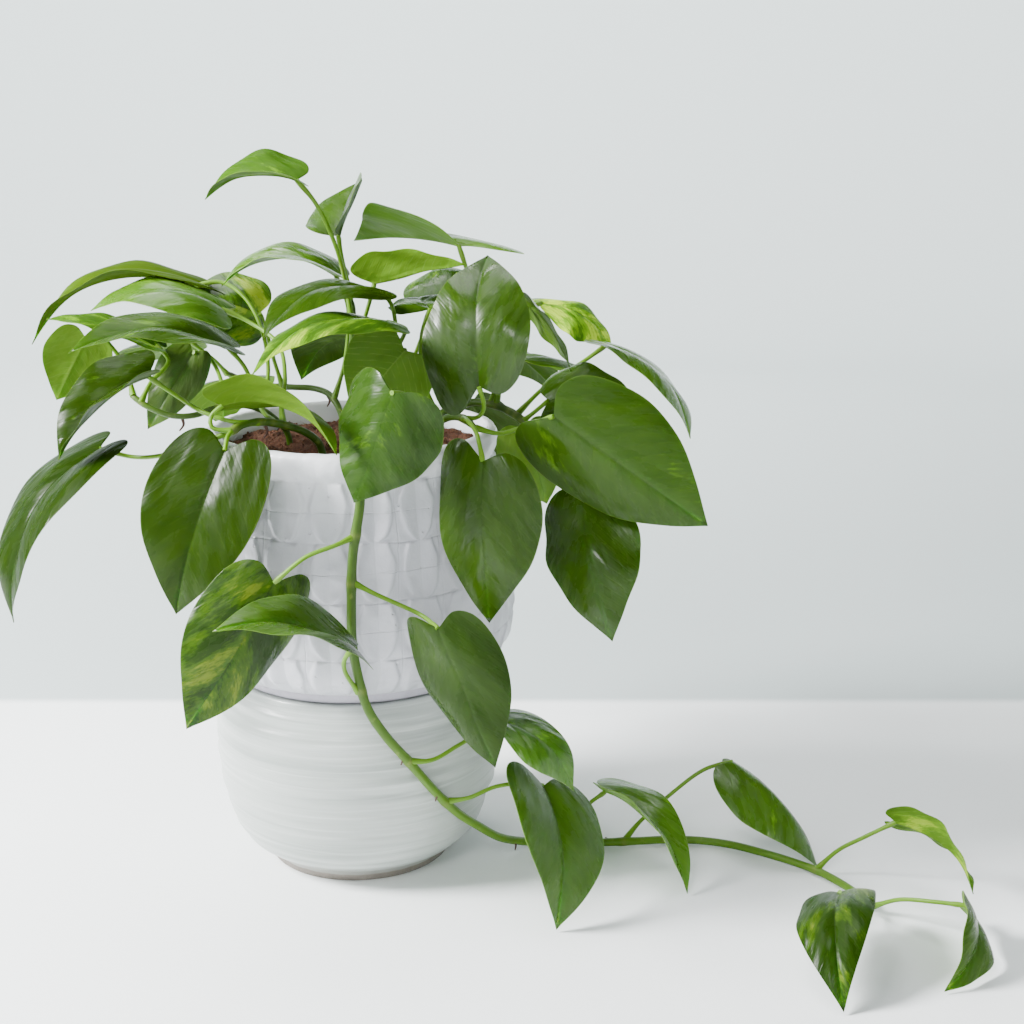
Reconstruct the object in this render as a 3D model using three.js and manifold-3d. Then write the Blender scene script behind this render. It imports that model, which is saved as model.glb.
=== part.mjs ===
// A potted pothos plant: an embossed ceramic pot stands on a round glazed pot, and
// vines with heart-shaped leaves grow from its soil. One vine trails over the rim,
// down the front and along the surface that the pots stand on.
// Millimetres, +Z up, the front towards -Y. The origin is the middle of the foot.
import * as THREE from "three";
import { mergeVertices } from "three/addons/utils/BufferGeometryUtils.js";
import Module from "manifold-3d";

const wasm = await Module();
wasm.setup();

// ---- Driving dimensions ----
const TOUCHING_GAP = 0.3;

const BASE_POT_TOP = 105.7;
const BASE_POT_SEGMENTS = 44;
const BASE_POT_OUTSIDE = [
  [0, 0],
  [49, 0],
  [50, 5.5],
  [57, 9.5],
  [65, 18],
  [71, 33],
  [75, 52],
  [76, 70],
  [74.5, 86],
  [71, 99],
  [68, BASE_POT_TOP],
];
const BASE_POT_INSIDE = [
  [59, BASE_POT_TOP],
  [64, 98],
  [69, 82],
  [69.5, 66],
  [66, 40],
  [58, 20],
  [44, 12],
  [0, 10],
];

const POT_TOP = 236;
const POT_FOOT = BASE_POT_TOP + TOUCHING_GAP;
const POT_FOOT_RADIUS = 66;
const POT_BAND = 112; // top of the plain foot band
const POT_BAND_RADIUS = 67;
const POT_COLUMNS = 22; // columns of raised ovals
const STEPS_A_COLUMN = 4;
const POT_TURN = THREE.MathUtils.degToRad(13); // the first column's centre, from the front
const ROW_PITCH = 29;
const TOP_GROOVE = 222;
const STEPS_A_ROW = 3;
const RELIEF = 1.6;
const CREASE = 0.7; // how deep the line down the middle of each raised oval is
const CREASE_SPREAD = 4; // how much narrower than its oval the crease is
const POT_BODY = [
  [72, POT_BAND + 1],
  [81, 122],
  [84, 135],
  [84, 150],
  [81.5, 176],
  [77.5, 200],
  [74, TOP_GROOVE],
];
const POT_LIP = [
  [75.5, 226],
  [76.2, 231],
  [74, 235.2],
  [71, POT_TOP],
];
const POT_INSIDE_SEGMENTS = 36;
const POT_FLOOR = 116;
const POT_INSIDE = [
  [0, POT_FLOOR],
  [60, POT_FLOOR],
  [72, 124],
  [76, 138],
  [75, 165],
  [70, 200],
  [66.5, 226],
];
const POT_MOUTH = [
  [67.5, 232.5],
  [69.8, POT_TOP + 0.4],
  [69.8, POT_TOP + 6],
  [0, POT_TOP + 6],
];

const SOIL_LEVEL = 224;
const SOIL_MOUND = 5;
const SOIL_LUMPS = 1.1;
const SOIL_RINGS = [64, 52, 38, 24, 11];
const SOIL_WALL_GAP = 0.4;

const VINE_SIDES = 6;
const VINE_STEP = 10; // the length of one step of a stem's tube
const STALK_RADIUS = 1.1;
const STALK_SIDES = 5;
const STALK_STEP = 13;
const STALK_END = 2.9; // from a stalk's end to the point where its blade starts
const SOIL_HOLE_RADIUS = 4; // of the hole that a vine stands in
const SOIL_HOLE_TOP = SOIL_LEVEL + 20;
const ROOT_RADIUS = 0.8;
const ROOT_LENGTH = 6;

const BLADE_HALF_THICKNESS = 0.4;
const BLADE_COLUMNS = 2; // on each side of the midrib
const LOBE_CROWDING = 2.2; // how much closer the rows start to each other at the notch
// Half a blade's outline: along the midrib, in blade lengths, and across, in half widths.
const HALF_OUTLINE = [
  [0, 0],
  [-0.09, 0.38],
  [-0.05, 0.72],
  [0.1, 0.93],
  [0.33, 1],
  [0.58, 0.82],
  [0.8, 0.44],
  [1, 0],
];

const CERAMIC = { color: 0xdadadf, roughness: 0.55, metalness: 0 };
const GLAZE = { color: 0xe2e5e0, roughness: 0.3, metalness: 0 };
const SOIL = { color: 0x5a3826, roughness: 0.95, metalness: 0 };
const STEM = { color: 0x76963f, roughness: 0.5, metalness: 0 };
const TONES = {
  dark: { color: 0x3c6423, roughness: 0.38, metalness: 0 },
  mid: { color: 0x55822d, roughness: 0.4, metalness: 0 },
  lime: { color: 0x7ea62b, roughness: 0.45, metalness: 0 },
  mottled: { color: 0x6c9a38, roughness: 0.4, metalness: 0 },
};

// ---- Vines and leaves ----
// A vine has its stems' radius, and each stem is a list of points from the soil
// outwards. A leaf has the point where its blade starts, its tip, the way that its
// upper side faces, its width, how far its midrib arches in lengths, how far its
// halves fold up and how far they curl down again in degrees, how far one half is
// set back in lengths, and the points of its stalk from the stem up to the blade.
const VINES = [
  {
    name: "trailing_vine",
    radius: 2.3,
    stems: [
      [
        [10, -30, 205], [10, -30, 232], [11, -44, 243], [12, -62, 246], [12, -77, 243],
        [12, -86, 232], [12, -89, 216], [10, -90, 203], [8, -90, 190], [7, -91, 170],
        [7, -91, 146], [9, -90, 131], [13, -88, 113], [21, -84, 97], [32, -77, 80],
        [44, -67, 60], [55, -56, 43], [66, -43, 29], [78, -28, 15], [91, -16, 7],
        [106, -10, 3], [125, -9, 2.8], [150, -7, 2.8], [170, -5, 2.8], [188, -6, 2.8],
        [204, -11, 2.8], [219, -20, 2.8], [234, -31, 2.8], [246, -42, 2.8],
        [254, -53, 2.8], [261, -66, 2.9], [267, -84, 3.4],
      ],
    ],
    roots: [[6, -91, 174], [28, -79, 85], [44, -67, 60], [84, -22, 11], [136, -8, 3]],
    leaves: [
      {
        tone: "mottled", base: [-28.5, -99, 179.9], tip: [-70.9, -112.2, 111.2],
        face: [0.32, -0.94, -0.13], width: 57, arch: 0.1, fold: 1, curl: 49, skew: -0.05,
        stalk: [[9, -90, 200], [0.5, -96.3, 197.3], [-13, -99.7, 192.6]],
      },
      {
        tone: "mid", base: [8.5, -110, 150.7], tip: [-49.5, -147.8, 171.7],
        face: [-0.44, -0.49, 0.75], width: 41, arch: 0.27, fold: 15, curl: 9, skew: -0.02,
        stalk: [[9, -89, 121], [3.8, -97.7, 134.6], [4.7, -106.3, 144.1]],
      },
      {
        tone: "mid", base: [49.1, -106.5, 159.5], tip: [76, -107.9, 89.6],
        face: [-0.45, -0.83, 0.31], width: 50, arch: 0.03, fold: -5, curl: 32, skew: 0.04,
        stalk: [[7, -91, 178], [18, -91, 172], [40, -90, 161]],
      },
      {
        tone: "mottled", base: [80, -57, 93], tip: [115, -77.4, 64],
        face: [0.42, -0.6, 0.68], width: 32, arch: 0.47, fold: 4, curl: 27, skew: -0.28,
        stalk: [[32, -77, 80], [43.2, -75.8, 79.8], [56.5, -65.5, 83.5], [71.8, -53.2, 88.2]],
      },
      {
        tone: "mid", base: [100, -64, 61], tip: [106, -104.2, 1.6],
        face: [0.63, -0.62, 0.46], width: 55, arch: 0.28, fold: 18, curl: 26, skew: 0.1,
        stalk: [[50, -61, 51], [61.8, -62.2, 53.5], [75.5, -58.5, 58], [89.2, -57.8, 59.5]],
      },
      {
        tone: "mid", base: [135, -11, 34], tip: [175, -66.2, 1.6],
        face: [0.7, -0.48, 0.54], width: 36, arch: 0.29, fold: 29, curl: 10, skew: -0.1,
        stalk: [[112, -10, 3], [118, -10.7, 15], [126, -11.3, 27]],
      },
      {
        tone: "mid", base: [206, 3, 46], tip: [248, -37.2, 1.6],
        face: [0.42, -0.06, 0.91], width: 54, arch: 0.22, fold: -18, curl: 41, skew: -0.08,
        stalk: [[146, -7, 3], [154.8, -0.2, 11], [171.5, 4.5, 25], [191.2, 8.2, 39]],
      },
      {
        tone: "mottled", base: [283, -58, 38], tip: [310, -110.1, 24],
        face: [0.9, -0.28, 0.33], width: 30, arch: 0.28, fold: 18, curl: 8, skew: -0.07,
        stalk: [[246, -42, 3], [256.3, -45.7, 16], [268.7, -52.3, 27]],
      },
      {
        tone: "mottled", base: [244, -112, 26], tip: [234, -180.3, 1.6],
        face: [-0.33, -0.64, 0.69], width: 38, arch: 0.44, fold: 12, curl: 43, skew: -0.11,
        stalk: [[266, -80, 3.4], [262, -92, 9], [253, -101, 15]],
      },
      {
        tone: "dark", base: [305, -114, 20], tip: [284, -162.4, 1.6],
        face: [0.82, -0.43, 0.39], width: 33, arch: 0.41, fold: 19, curl: 36, skew: -0.17,
        stalk: [[267, -84, 3.6], [277.7, -96, 13.7], [291.3, -107, 18.3]],
      },
    ],
  },
  {
    name: "left_front_vine",
    radius: 1.9,
    stems: [
      [
        [-12, -36, 205], [-12, -36, 232], [-18, -41, 240], [-28, -46, 245],
        [-38, -52, 248], [-47, -60, 248], [-53, -66, 245],
      ],
    ],
    roots: [[-37, -52, 246]],
    leaves: [
      {
        tone: "dark", base: [-53.4, -74.5, 238.5], tip: [-78.3, -86.6, 160.2],
        face: [-0.27, -0.91, 0.31], width: 62, arch: 0.17, fold: 9, curl: 12, skew: -0.03,
        stalk: [[-51, -64, 246], [-52.7, -69.8, 244.2]],
      },
      {
        tone: "lime", base: [-56, -62, 258], tip: [3, -101.3, 242],
        face: [0.21, 0.46, 0.86], width: 41, arch: 0.32, fold: 24, curl: 17, skew: -0.06,
        stalk: [[-52, -65, 246], [-60.7, -66, 248], [-61.3, -64, 253]],
      },
      {
        tone: "mid", base: [-120, -49, 234], tip: [-160.9, -74.5, 152],
        face: [-0.68, -0.52, 0.52], width: 49, arch: 0.37, fold: 12, curl: 25, skew: -0,
        stalk: [[-50, -63, 246], [-65.8, -62.8, 240], [-87.5, -55.5, 232], [-105.2, -45.2, 229]],
      },
      {
        tone: "dark", base: [-95, -44, 269], tip: [-135.6, -66.2, 232],
        face: [-0.45, -0.39, 0.8], width: 45, arch: 0.21, fold: 36, curl: 17, skew: 0.07,
        stalk: [[-40, -54, 248], [-51.2, -60.8, 249.8], [-65.5, -57.5, 253.5], [-83.8, -41.2, 260.2]],
      },
      {
        tone: "mid", base: [-59, -24, 281], tip: [-129.4, -59, 283],
        face: [-0.01, -0.27, 0.96], width: 43, arch: 0.28, fold: 19, curl: 30, skew: 0.05,
        stalk: [[-33, -49, 247], [-39.8, -39.8, 250.8], [-44.5, -32.5, 259.5], [-50.2, -27.2, 271.2]],
      },
      {
        tone: "mid", base: [-68, 15, 295], tip: [-134, 6, 295],
        face: [-0.05, -0.3, 0.95], width: 44, arch: 0.38, fold: 10, curl: 40, skew: 0,
        stalk: [[-29, -46, 246], [-31, -36, 252], [-31, -20, 264], [-37, 0, 279], [-55, 14, 289]],
      },
    ],
  },
  {
    name: "left_back_vine",
    radius: 1.6,
    stems: [
      [
        [-32, -8, 205], [-32, -8, 232], [-37, -13, 241], [-45, -18, 248],
        [-55, -23, 251], [-66, -27, 250], [-76, -30, 247], [-87, -31, 247],
        [-99, -29, 251], [-109, -25, 257],
      ],
    ],
    roots: [[-82, -30, 245]],
    leaves: [
      {
        tone: "lime", base: [-86.3, 39, 304.1], tip: [-171.5, 26, 274.5],
        face: [-0, -0.02, 1], width: 44, arch: 0.42, fold: 28, curl: 34, skew: -0.07,
        stalk: [[-44, -18, 247], [-43, 4, 264], [-49, 24, 284], [-59, 34, 299], [-72, 40, 306]],
      },
      {
        tone: "lime", base: [-130, -22, 285], tip: [-146, -26, 254],
        face: [-0.1, 0.95, 0.25], width: 34, arch: 0.12, fold: 8, curl: 30, skew: 0,
        stalk: [[-107, -26, 256], [-114, -12, 270], [-127, -12, 286]],
      },
      {
        tone: "mottled", base: [-97, -12, 280], tip: [-150, -19, 294],
        face: [0, -0.2, 1], width: 28, arch: 0.15, fold: 12, curl: 20, skew: 0,
        stalk: [[-103, -28, 253], [-99, -22, 262], [-91, -14, 272]],
      },
      {
        tone: "lime", base: [-80, -4, 275], tip: [-103, -16, 237],
        face: [0.2, -0.95, 0.2], width: 26, arch: 0.15, fold: 8, curl: 30, skew: 0,
        stalk: [[-62, -26, 250], [-65, -10, 260], [-73, 4, 270]],
      },
    ],
  },
  {
    name: "back_left_vine",
    radius: 1.7,
    stems: [
      [
        [-6, 18, 205], [-6, 18, 232], [-9, 26, 240], [-15, 35, 246], [-24, 42, 248],
        [-36, 46, 248], [-50, 51, 248], [-64, 56, 250], [-76, 60, 254],
      ],
    ],
    roots: [[-16, 36, 245]],
    leaves: [
      {
        tone: "mottled", base: [-52.9, 48, 288.2], tip: [-95.2, 46, 296.3],
        face: [0, -0.7, 0.7], width: 50, arch: 0.2, fold: 8, curl: 30, skew: 0,
        stalk: [[-42, 48, 248], [-47.3, 51, 264.7], [-50.6, 51, 279.5]],
      },
      {
        tone: "dark", base: [-10, 34, 311], tip: [-70, 30, 305],
        face: [0, -0.1, 1], width: 42, arch: 0.4, fold: 20, curl: 20, skew: 0,
        stalk: [[-12, 31, 244], [-6, 36, 265], [-4, 37, 293]],
      },
      {
        tone: "mid", base: [-92, 52, 272], tip: [-142, 46, 246],
        face: [-0.5, 0.3, 0.8], width: 50, arch: 0.3, fold: 10, curl: 35, skew: 0,
        stalk: [[-74, 59, 253], [-79, 56, 260]],
      },
      {
        tone: "dark", base: [-73, 82, 246], tip: [-90, 128, 208],
        face: [-0.3, 0.6, 0.7], width: 52, arch: 0.3, fold: 10, curl: 35, skew: 0,
        stalk: [[-66, 57, 251], [-70, 68, 249]],
      },
    ],
  },
  {
    name: "upright_vine",
    radius: 1.9,
    stems: [
      [[2, 10, 205], [2, 10, 240], [1, 10, 270], [1, 10, 300]],
      [[2, 10, 233], [8, 0, 237], [14, -9, 243], [19, -13, 260], [24, -16, 280]],
    ],
    roots: [[1, 10, 290]],
    leaves: [
      {
        tone: "mottled", base: [-24, -5, 362], tip: [-71.3, 0.6, 352],
        face: [-0.5, -0.13, 0.86], width: 46, arch: 0.31, fold: 19, curl: 5, skew: -0.07,
        stalk: [[1, 9, 288], [-1.2, 8, 304.8], [-4.4, 4, 322.6], [-9.6, 1, 338.4], [-15.8, -1, 351.2]],
      },
      {
        tone: "mid", base: [-6, 16, 333], tip: [2, 72, 358],
        face: [-0.59, 0.18, 0.79], width: 54, arch: 0, fold: 38, curl: 31, skew: 0.34,
        stalk: [[1, 10, 294], [-0.7, 14, 305.7], [-4.3, 17, 320.3]],
      },
      {
        tone: "lime", base: [13, 7, 309], tip: [61, -15.5, 321],
        face: [-0.01, 0.39, 0.92], width: 40, arch: 0.04, fold: 32, curl: 10, skew: 0.07,
        stalk: [[2, 9, 276], [6, 5.3, 286], [10, 3.7, 298]],
      },
      {
        tone: "mid", base: [14, -17, 309], tip: [-38, -44, 287],
        face: [-0.15, -0.15, 1], width: 52, arch: 0.4, fold: 10, curl: 35, skew: 0,
        stalk: [[24, -16, 277], [25, -15, 292], [22, -15, 303]],
      },
      {
        tone: "mottled", base: [23, -44, 296], tip: [-39, -76, 275],
        face: [-0.15, -0.15, 1], width: 44, arch: 0.35, fold: 8, curl: 35, skew: 0,
        stalk: [[24, -16, 276], [30, -24, 287], [31, -36, 292]],
      },
      {
        tone: "dark", base: [31, -36, 281], tip: [6, -50, 251],
        face: [0.1, 0.95, 0.3], width: 48, arch: 0.12, fold: 8, curl: 20, skew: 0,
        stalk: [[22, -15, 271], [29, -24, 277]],
      },
      {
        tone: "mottled", base: [28.7, -98, 270.6], tip: [9.9, -96.8, 218.2],
        face: [-0.42, -0.91, -0.03], width: 61, arch: 0, fold: -9, curl: 34, skew: 0.03,
        stalk: [[14, -9, 243], [24.2, -28, 242.9], [34.4, -59, 250.8], [34.5, -84, 266.7]],
      },
    ],
  },
  {
    name: "right_vine",
    radius: 1.9,
    stems: [
      [
        [40, -20, 205], [40, -20, 232], [46, -27, 242], [53, -35, 247],
        [60, -44, 248], [66, -52, 245],
      ],
      [
        [41, -21, 234], [47, -14, 244], [60, -13, 250], [73, -20, 251],
        [86, -30, 247], [95, -36, 240],
      ],
    ],
    roots: [[46, -28, 243]],
    leaves: [
      {
        tone: "mid", base: [68, -60, 267], tip: [72, -20.8, 326],
        face: [-0.23, -0.85, 0.48], width: 54, arch: 0.42, fold: 7, curl: 22, skew: -0.1,
        stalk: [[61, -45, 248], [67.7, -50.3, 250.3], [70.3, -55.7, 256.7]],
      },
      {
        tone: "dark", base: [70.1, -79, 234.3], tip: [73.1, -84.3, 155],
        face: [-0.33, -0.86, 0.38], width: 59, arch: 0.14, fold: -8, curl: 30, skew: 0.09,
        stalk: [[60, -44, 248], [62, -57, 250], [67, -71, 246]],
      },
      {
        tone: "mid", base: [104, -64, 253], tip: [179, -74, 201],
        face: [-0.28, -0.96, 0.02], width: 67, arch: 0.03, fold: -1, curl: 37, skew: 0.06,
        stalk: [[66, -52, 245], [78, -51, 242], [93, -53, 247]],
      },
      {
        tone: "dark", base: [119, -39, 207], tip: [134, -68.1, 140],
        face: [-0.25, -0.97, -0.02], width: 54, arch: 0.27, fold: -11, curl: 21, skew: 0.1,
        stalk: [[94, -35, 241], [103.7, -36.3, 229], [113.3, -37.7, 215]],
      },
      {
        tone: "lime", base: [90, -14, 237], tip: [102, -18, 198],
        face: [0.2, -0.9, 0.3], width: 36, arch: 0.12, fold: 8, curl: 30, skew: 0,
        stalk: [[83, -28, 248], [87, -20, 245]],
      },
      {
        tone: "dark", base: [133, -4, 279], tip: [173, -40, 237],
        face: [0.75, -0.2, 0.6], width: 46, arch: 0.3, fold: 8, curl: 35, skew: 0,
        stalk: [[86, -30, 247], [101, -20, 260], [120, -6, 270]],
      },
      {
        tone: "mid", base: [102, -38, 256], tip: [145, -42, 257],
        face: [0, -0.6, 0.8], width: 44, arch: 0.35, fold: 8, curl: 35, skew: 0,
        stalk: [[90, -33, 245], [95, -33, 249]],
      },
      {
        tone: "mottled", base: [99.3, 24, 296.9], tip: [137, 15.7, 272.4],
        face: [0.2, -0.33, 0.93], width: 39, arch: 0.36, fold: 0, curl: 30, skew: -0.34,
        stalk: [[76, -22, 251], [79, -22, 268], [82, -10, 284], [91, 10, 294]],
      },
      {
        tone: "mid", base: [92, -24, 302], tip: [113, -46, 272],
        face: [0.8, 0.3, 0.5], width: 30, arch: 0.15, fold: 8, curl: 30, skew: 0,
        stalk: [[73, -20, 251], [80, -20, 270], [88, -22, 291]],
      },
      {
        tone: "mid", base: [56, 26, 327], tip: [-1.5, 52, 327],
        face: [-0.45, 0.5, 0.74], width: 54, arch: 0.09, fold: 31, curl: 17, skew: 0.5,
        stalk: [[60, -13, 250], [63.7, -1.3, 278.3], [62.3, 19.3, 306.7]],
      },
      {
        tone: "mid", base: [42, -2, 297], tip: [34, 22, 300],
        face: [0, -0.15, 1], width: 40, arch: 0.15, fold: 6, curl: 25, skew: 0,
        stalk: [[46, -15, 243], [38, -10, 264], [38, -8, 285]],
      },
    ],
  },
  {
    name: "back_vine",
    radius: 1.9,
    stems: [
      [
        [14, 38, 205], [14, 38, 232], [18, 48, 242], [24, 60, 248], [28, 74, 250],
        [30, 88, 246], [30, 99, 236], [28, 106, 224],
      ],
    ],
    roots: [[29, 80, 248]],
    leaves: [
      {
        tone: "dark", base: [24, 110, 212], tip: [14, 118, 138],
        face: [0, 1, 0.2], width: 56, arch: 0.15, fold: 8, curl: 30, skew: 0,
        stalk: [[28, 104, 228], [26, 108, 220]],
      },
      {
        tone: "mid", base: [66, 84, 262], tip: [112, 108, 230],
        face: [0.4, 0.5, 0.75], width: 54, arch: 0.3, fold: 10, curl: 35, skew: 0,
        stalk: [[28, 74, 250], [42, 78, 258], [57, 82, 263]],
      },
      {
        tone: "mid", base: [-4, 92, 270], tip: [-42, 128, 238],
        face: [-0.3, 0.6, 0.7], width: 54, arch: 0.3, fold: 10, curl: 35, skew: 0,
        stalk: [[27, 70, 250], [18, 80, 262], [5, 88, 269]],
      },
      {
        tone: "mottled", base: [40, 57, 292], tip: [72, 96, 300],
        face: [0.2, -0.2, 0.95], width: 50, arch: 0.3, fold: 10, curl: 35, skew: 0,
        stalk: [[24, 60, 248], [32, 57, 268], [38, 55, 284]],
      },
      {
        tone: "dark", base: [90, 38, 266], tip: [140, 54, 234],
        face: [0.4, 0.2, 0.9], width: 56, arch: 0.3, fold: 10, curl: 35, skew: 0,
        stalk: [[23, 58, 248], [44, 50, 258], [73, 41, 264]],
      },
      {
        tone: "mid", base: [60, 104, 228], tip: [88, 126, 160],
        face: [0.4, 0.9, 0.2], width: 54, arch: 0.2, fold: 8, curl: 30, skew: 0,
        stalk: [[30, 88, 246], [40, 96, 245], [53, 102, 238]],
      },
    ],
  },
];

// ---- Solids ----
function toSolid(geometry) {
  const bare = geometry.clone();
  bare.deleteAttribute("normal");
  bare.deleteAttribute("uv");
  const merged = mergeVertices(bare, 1e-4);
  return new wasm.Manifold(
    new wasm.Mesh({
      numProp: 3,
      vertProperties: new Float32Array(merged.attributes.position.array),
      triVerts: new Uint32Array(merged.index.array),
    }),
  );
}

function toGeometry(solid) {
  const mesh = solid.getMesh();
  const geometry = new THREE.BufferGeometry();
  geometry.setAttribute("position", new THREE.BufferAttribute(mesh.vertProperties, 3));
  geometry.setIndex(new THREE.BufferAttribute(mesh.triVerts, 1));
  return geometry;
}

function fuse(solids) {
  return solids.reduce((whole, next) => whole.add(next));
}

// A profile of [radius, height] pairs turned about +Z. Angle 0 is the front, -Y.
function turned(profile, segments, start = 0) {
  const points = profile.map(([radius, height]) => new THREE.Vector2(radius, height));
  return new THREE.LatheGeometry(points, segments, start).rotateX(Math.PI / 2);
}

function smoothRadius(points, height) {
  const last = points.length - 1;
  let i = 0;
  while (i < last - 1 && height > points[i + 1][1]) i += 1;
  const before = points[Math.max(i - 1, 0)];
  const [from, to] = [points[i], points[i + 1]];
  const after = points[Math.min(i + 2, last)];
  const span = to[1] - from[1];
  const t = (height - from[1]) / span;
  const slopeIn = ((to[0] - before[0]) / (to[1] - before[1])) * span;
  const slopeOut = ((after[0] - from[0]) / (after[1] - from[1])) * span;
  return (
    (2 * t ** 3 - 3 * t ** 2 + 1) * from[0] +
    (t ** 3 - 2 * t ** 2 + t) * slopeIn +
    (3 * t ** 2 - 2 * t ** 3) * to[0] +
    (t ** 3 - t ** 2) * slopeOut
  );
}

// ---- The two pots and the soil ----
function basePot() {
  return turned([...BASE_POT_OUTSIDE, ...BASE_POT_INSIDE], BASE_POT_SEGMENTS);
}

// How far the raised ovals stand out at an angle from the front and a height.
function relief(angle, height) {
  if (height > TOP_GROOVE || height < POT_BAND + 1) return 0;
  const column = ((angle - POT_TURN) * POT_COLUMNS) / (2 * Math.PI);
  const across = 2 * Math.abs(column - Math.round(column));
  const row = (TOP_GROOVE - height) / ROW_PITCH;
  const along = 2 * Math.abs(row - Math.floor(row) - 0.5);
  const oval = Math.max(0, 1 - across ** 3) * Math.max(0, 1 - along ** 4);
  const crease = (CREASE / RELIEF) * Math.max(0, 1 - CREASE_SPREAD * across);
  return RELIEF * oval * (1 - crease);
}

function embossedPot() {
  const outside = [[0, POT_FOOT], [POT_FOOT_RADIUS, POT_FOOT], [POT_BAND_RADIUS, POT_BAND]];
  const rowStep = ROW_PITCH / STEPS_A_ROW;
  const lowest = POT_BODY[0][1];
  const heights = [];
  for (let height = TOP_GROOVE; height > lowest; height -= rowStep) heights.push(height);
  heights.push(lowest);
  heights.reverse();
  for (const height of heights) outside.push([smoothRadius(POT_BODY, height), height]);
  outside.push(...POT_LIP, [0, POT_TOP]);
  const geometry = turned(outside, POT_COLUMNS * STEPS_A_COLUMN, POT_TURN);
  const position = geometry.attributes.position;
  for (let i = 0; i < position.count; i += 1) {
    const [x, y, z] = [position.getX(i), position.getY(i), position.getZ(i)];
    const radius = Math.hypot(x, y);
    if (radius < 1) continue;
    const scale = 1 + relief(Math.atan2(x, -y), z) / radius;
    position.setXY(i, x * scale, y * scale);
  }
  const hollow = turned([...POT_INSIDE, ...POT_MOUTH], POT_INSIDE_SEGMENTS);
  return toGeometry(toSolid(geometry).subtract(toSolid(hollow)));
}

function soil() {
  const wall = [];
  for (const [radius, height] of POT_INSIDE) {
    const shrunk = Math.max(0, radius - SOIL_WALL_GAP);
    wall.push([shrunk, Math.max(height, POT_FLOOR + TOUCHING_GAP)]);
  }
  wall[wall.length - 1][1] = SOIL_LEVEL;
  const top = SOIL_RINGS.map((radius) => [radius, SOIL_LEVEL]);
  const geometry = turned([...wall, ...top, [0, SOIL_LEVEL]], POT_INSIDE_SEGMENTS);
  const position = geometry.attributes.position;
  const edge = SOIL_RINGS[0];
  for (let i = 0; i < position.count; i += 1) {
    const [x, y, z] = [position.getX(i), position.getY(i), position.getZ(i)];
    const inwards = 1 - Math.hypot(x, y) / (edge + 2);
    if (z < SOIL_LEVEL - 1 || inwards < 0) continue;
    const lump = Math.sin(0.31 * x + 1) * Math.cos(0.27 * y) + Math.sin(0.17 * (x + y));
    position.setZ(i, z + SOIL_MOUND * Math.sqrt(inwards) + SOIL_LUMPS * lump);
  }
  let solid = toSolid(geometry);
  for (const vine of VINES) {
    const [x, y, z] = vine.stems[0][0];
    const floor = z - TOUCHING_GAP;
    const depth = SOIL_HOLE_TOP - floor;
    const hole = new THREE.CylinderGeometry(SOIL_HOLE_RADIUS, SOIL_HOLE_RADIUS, depth, 8);
    hole.rotateX(Math.PI / 2).translate(x, y, floor + depth / 2);
    solid = solid.subtract(toSolid(hole));
  }
  return toGeometry(solid);
}

// ---- Stems, stalks and aerial roots ----
function tube(points, radius, sides, step) {
  const path = new THREE.CatmullRomCurve3(points.map((p) => new THREE.Vector3(...p)));
  const section = new THREE.Shape();
  for (let i = 0; i < sides; i += 1) {
    const angle = (2 * Math.PI * i) / sides;
    const corner = [radius * Math.cos(angle), radius * Math.sin(angle)];
    if (i === 0) section.moveTo(...corner);
    else section.lineTo(...corner);
  }
  section.closePath();
  const steps = Math.max(2, Math.round(path.getLength() / step));
  return toSolid(new THREE.ExtrudeGeometry(section, { steps, extrudePath: path }));
}

function stalk(leaf) {
  const points = leaf.stalk.map((p) => new THREE.Vector3(...p));
  const base = new THREE.Vector3(...leaf.base);
  const arriving = base.clone().sub(points[points.length - 1]).normalize();
  points.push(base.addScaledVector(arriving, -STALK_END));
  return tube(points.map((p) => p.toArray()), STALK_RADIUS, STALK_SIDES, STALK_STEP);
}

function aerialRoot([x, y, z]) {
  const root = new THREE.ConeGeometry(ROOT_RADIUS, ROOT_LENGTH, 4);
  root.rotateX(-Math.PI / 2);
  if (z < ROOT_LENGTH + 3) root.rotateX(Math.PI / 2).translate(0, ROOT_LENGTH / 2, 0);
  else root.translate(0, 0, -ROOT_LENGTH / 2);
  return toSolid(root.translate(x, y, z));
}

function vineGeometry(vine) {
  const stems = vine.stems.map((s) => tube(s, vine.radius, VINE_SIDES, VINE_STEP));
  const stalks = vine.leaves.map(stalk);
  const roots = vine.roots.map(aerialRoot);
  return toGeometry(fuse([...stems, ...stalks, ...roots]));
}

// ---- Leaf blades ----
// The frame of a blade's midrib at a share of its length: a point, the way across
// and the way up from the upper side.
function midribFrame(leaf, share) {
  const base = new THREE.Vector3(...leaf.base);
  const chord = new THREE.Vector3(...leaf.tip).sub(base);
  const length = chord.length();
  const along = chord.clone().normalize();
  const up = new THREE.Vector3(...leaf.face);
  up.addScaledVector(along, -up.dot(along)).normalize();
  const bulge = 2 * leaf.arch * length;
  const point = base.addScaledVector(chord, share);
  point.addScaledVector(up, bulge * share * (1 - share));
  const tangent = chord.addScaledVector(up, bulge * (1 - 2 * share)).normalize();
  const across = new THREE.Vector3().crossVectors(tangent, up).normalize();
  return { point, across, up: new THREE.Vector3().crossVectors(across, tangent) };
}

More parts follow.
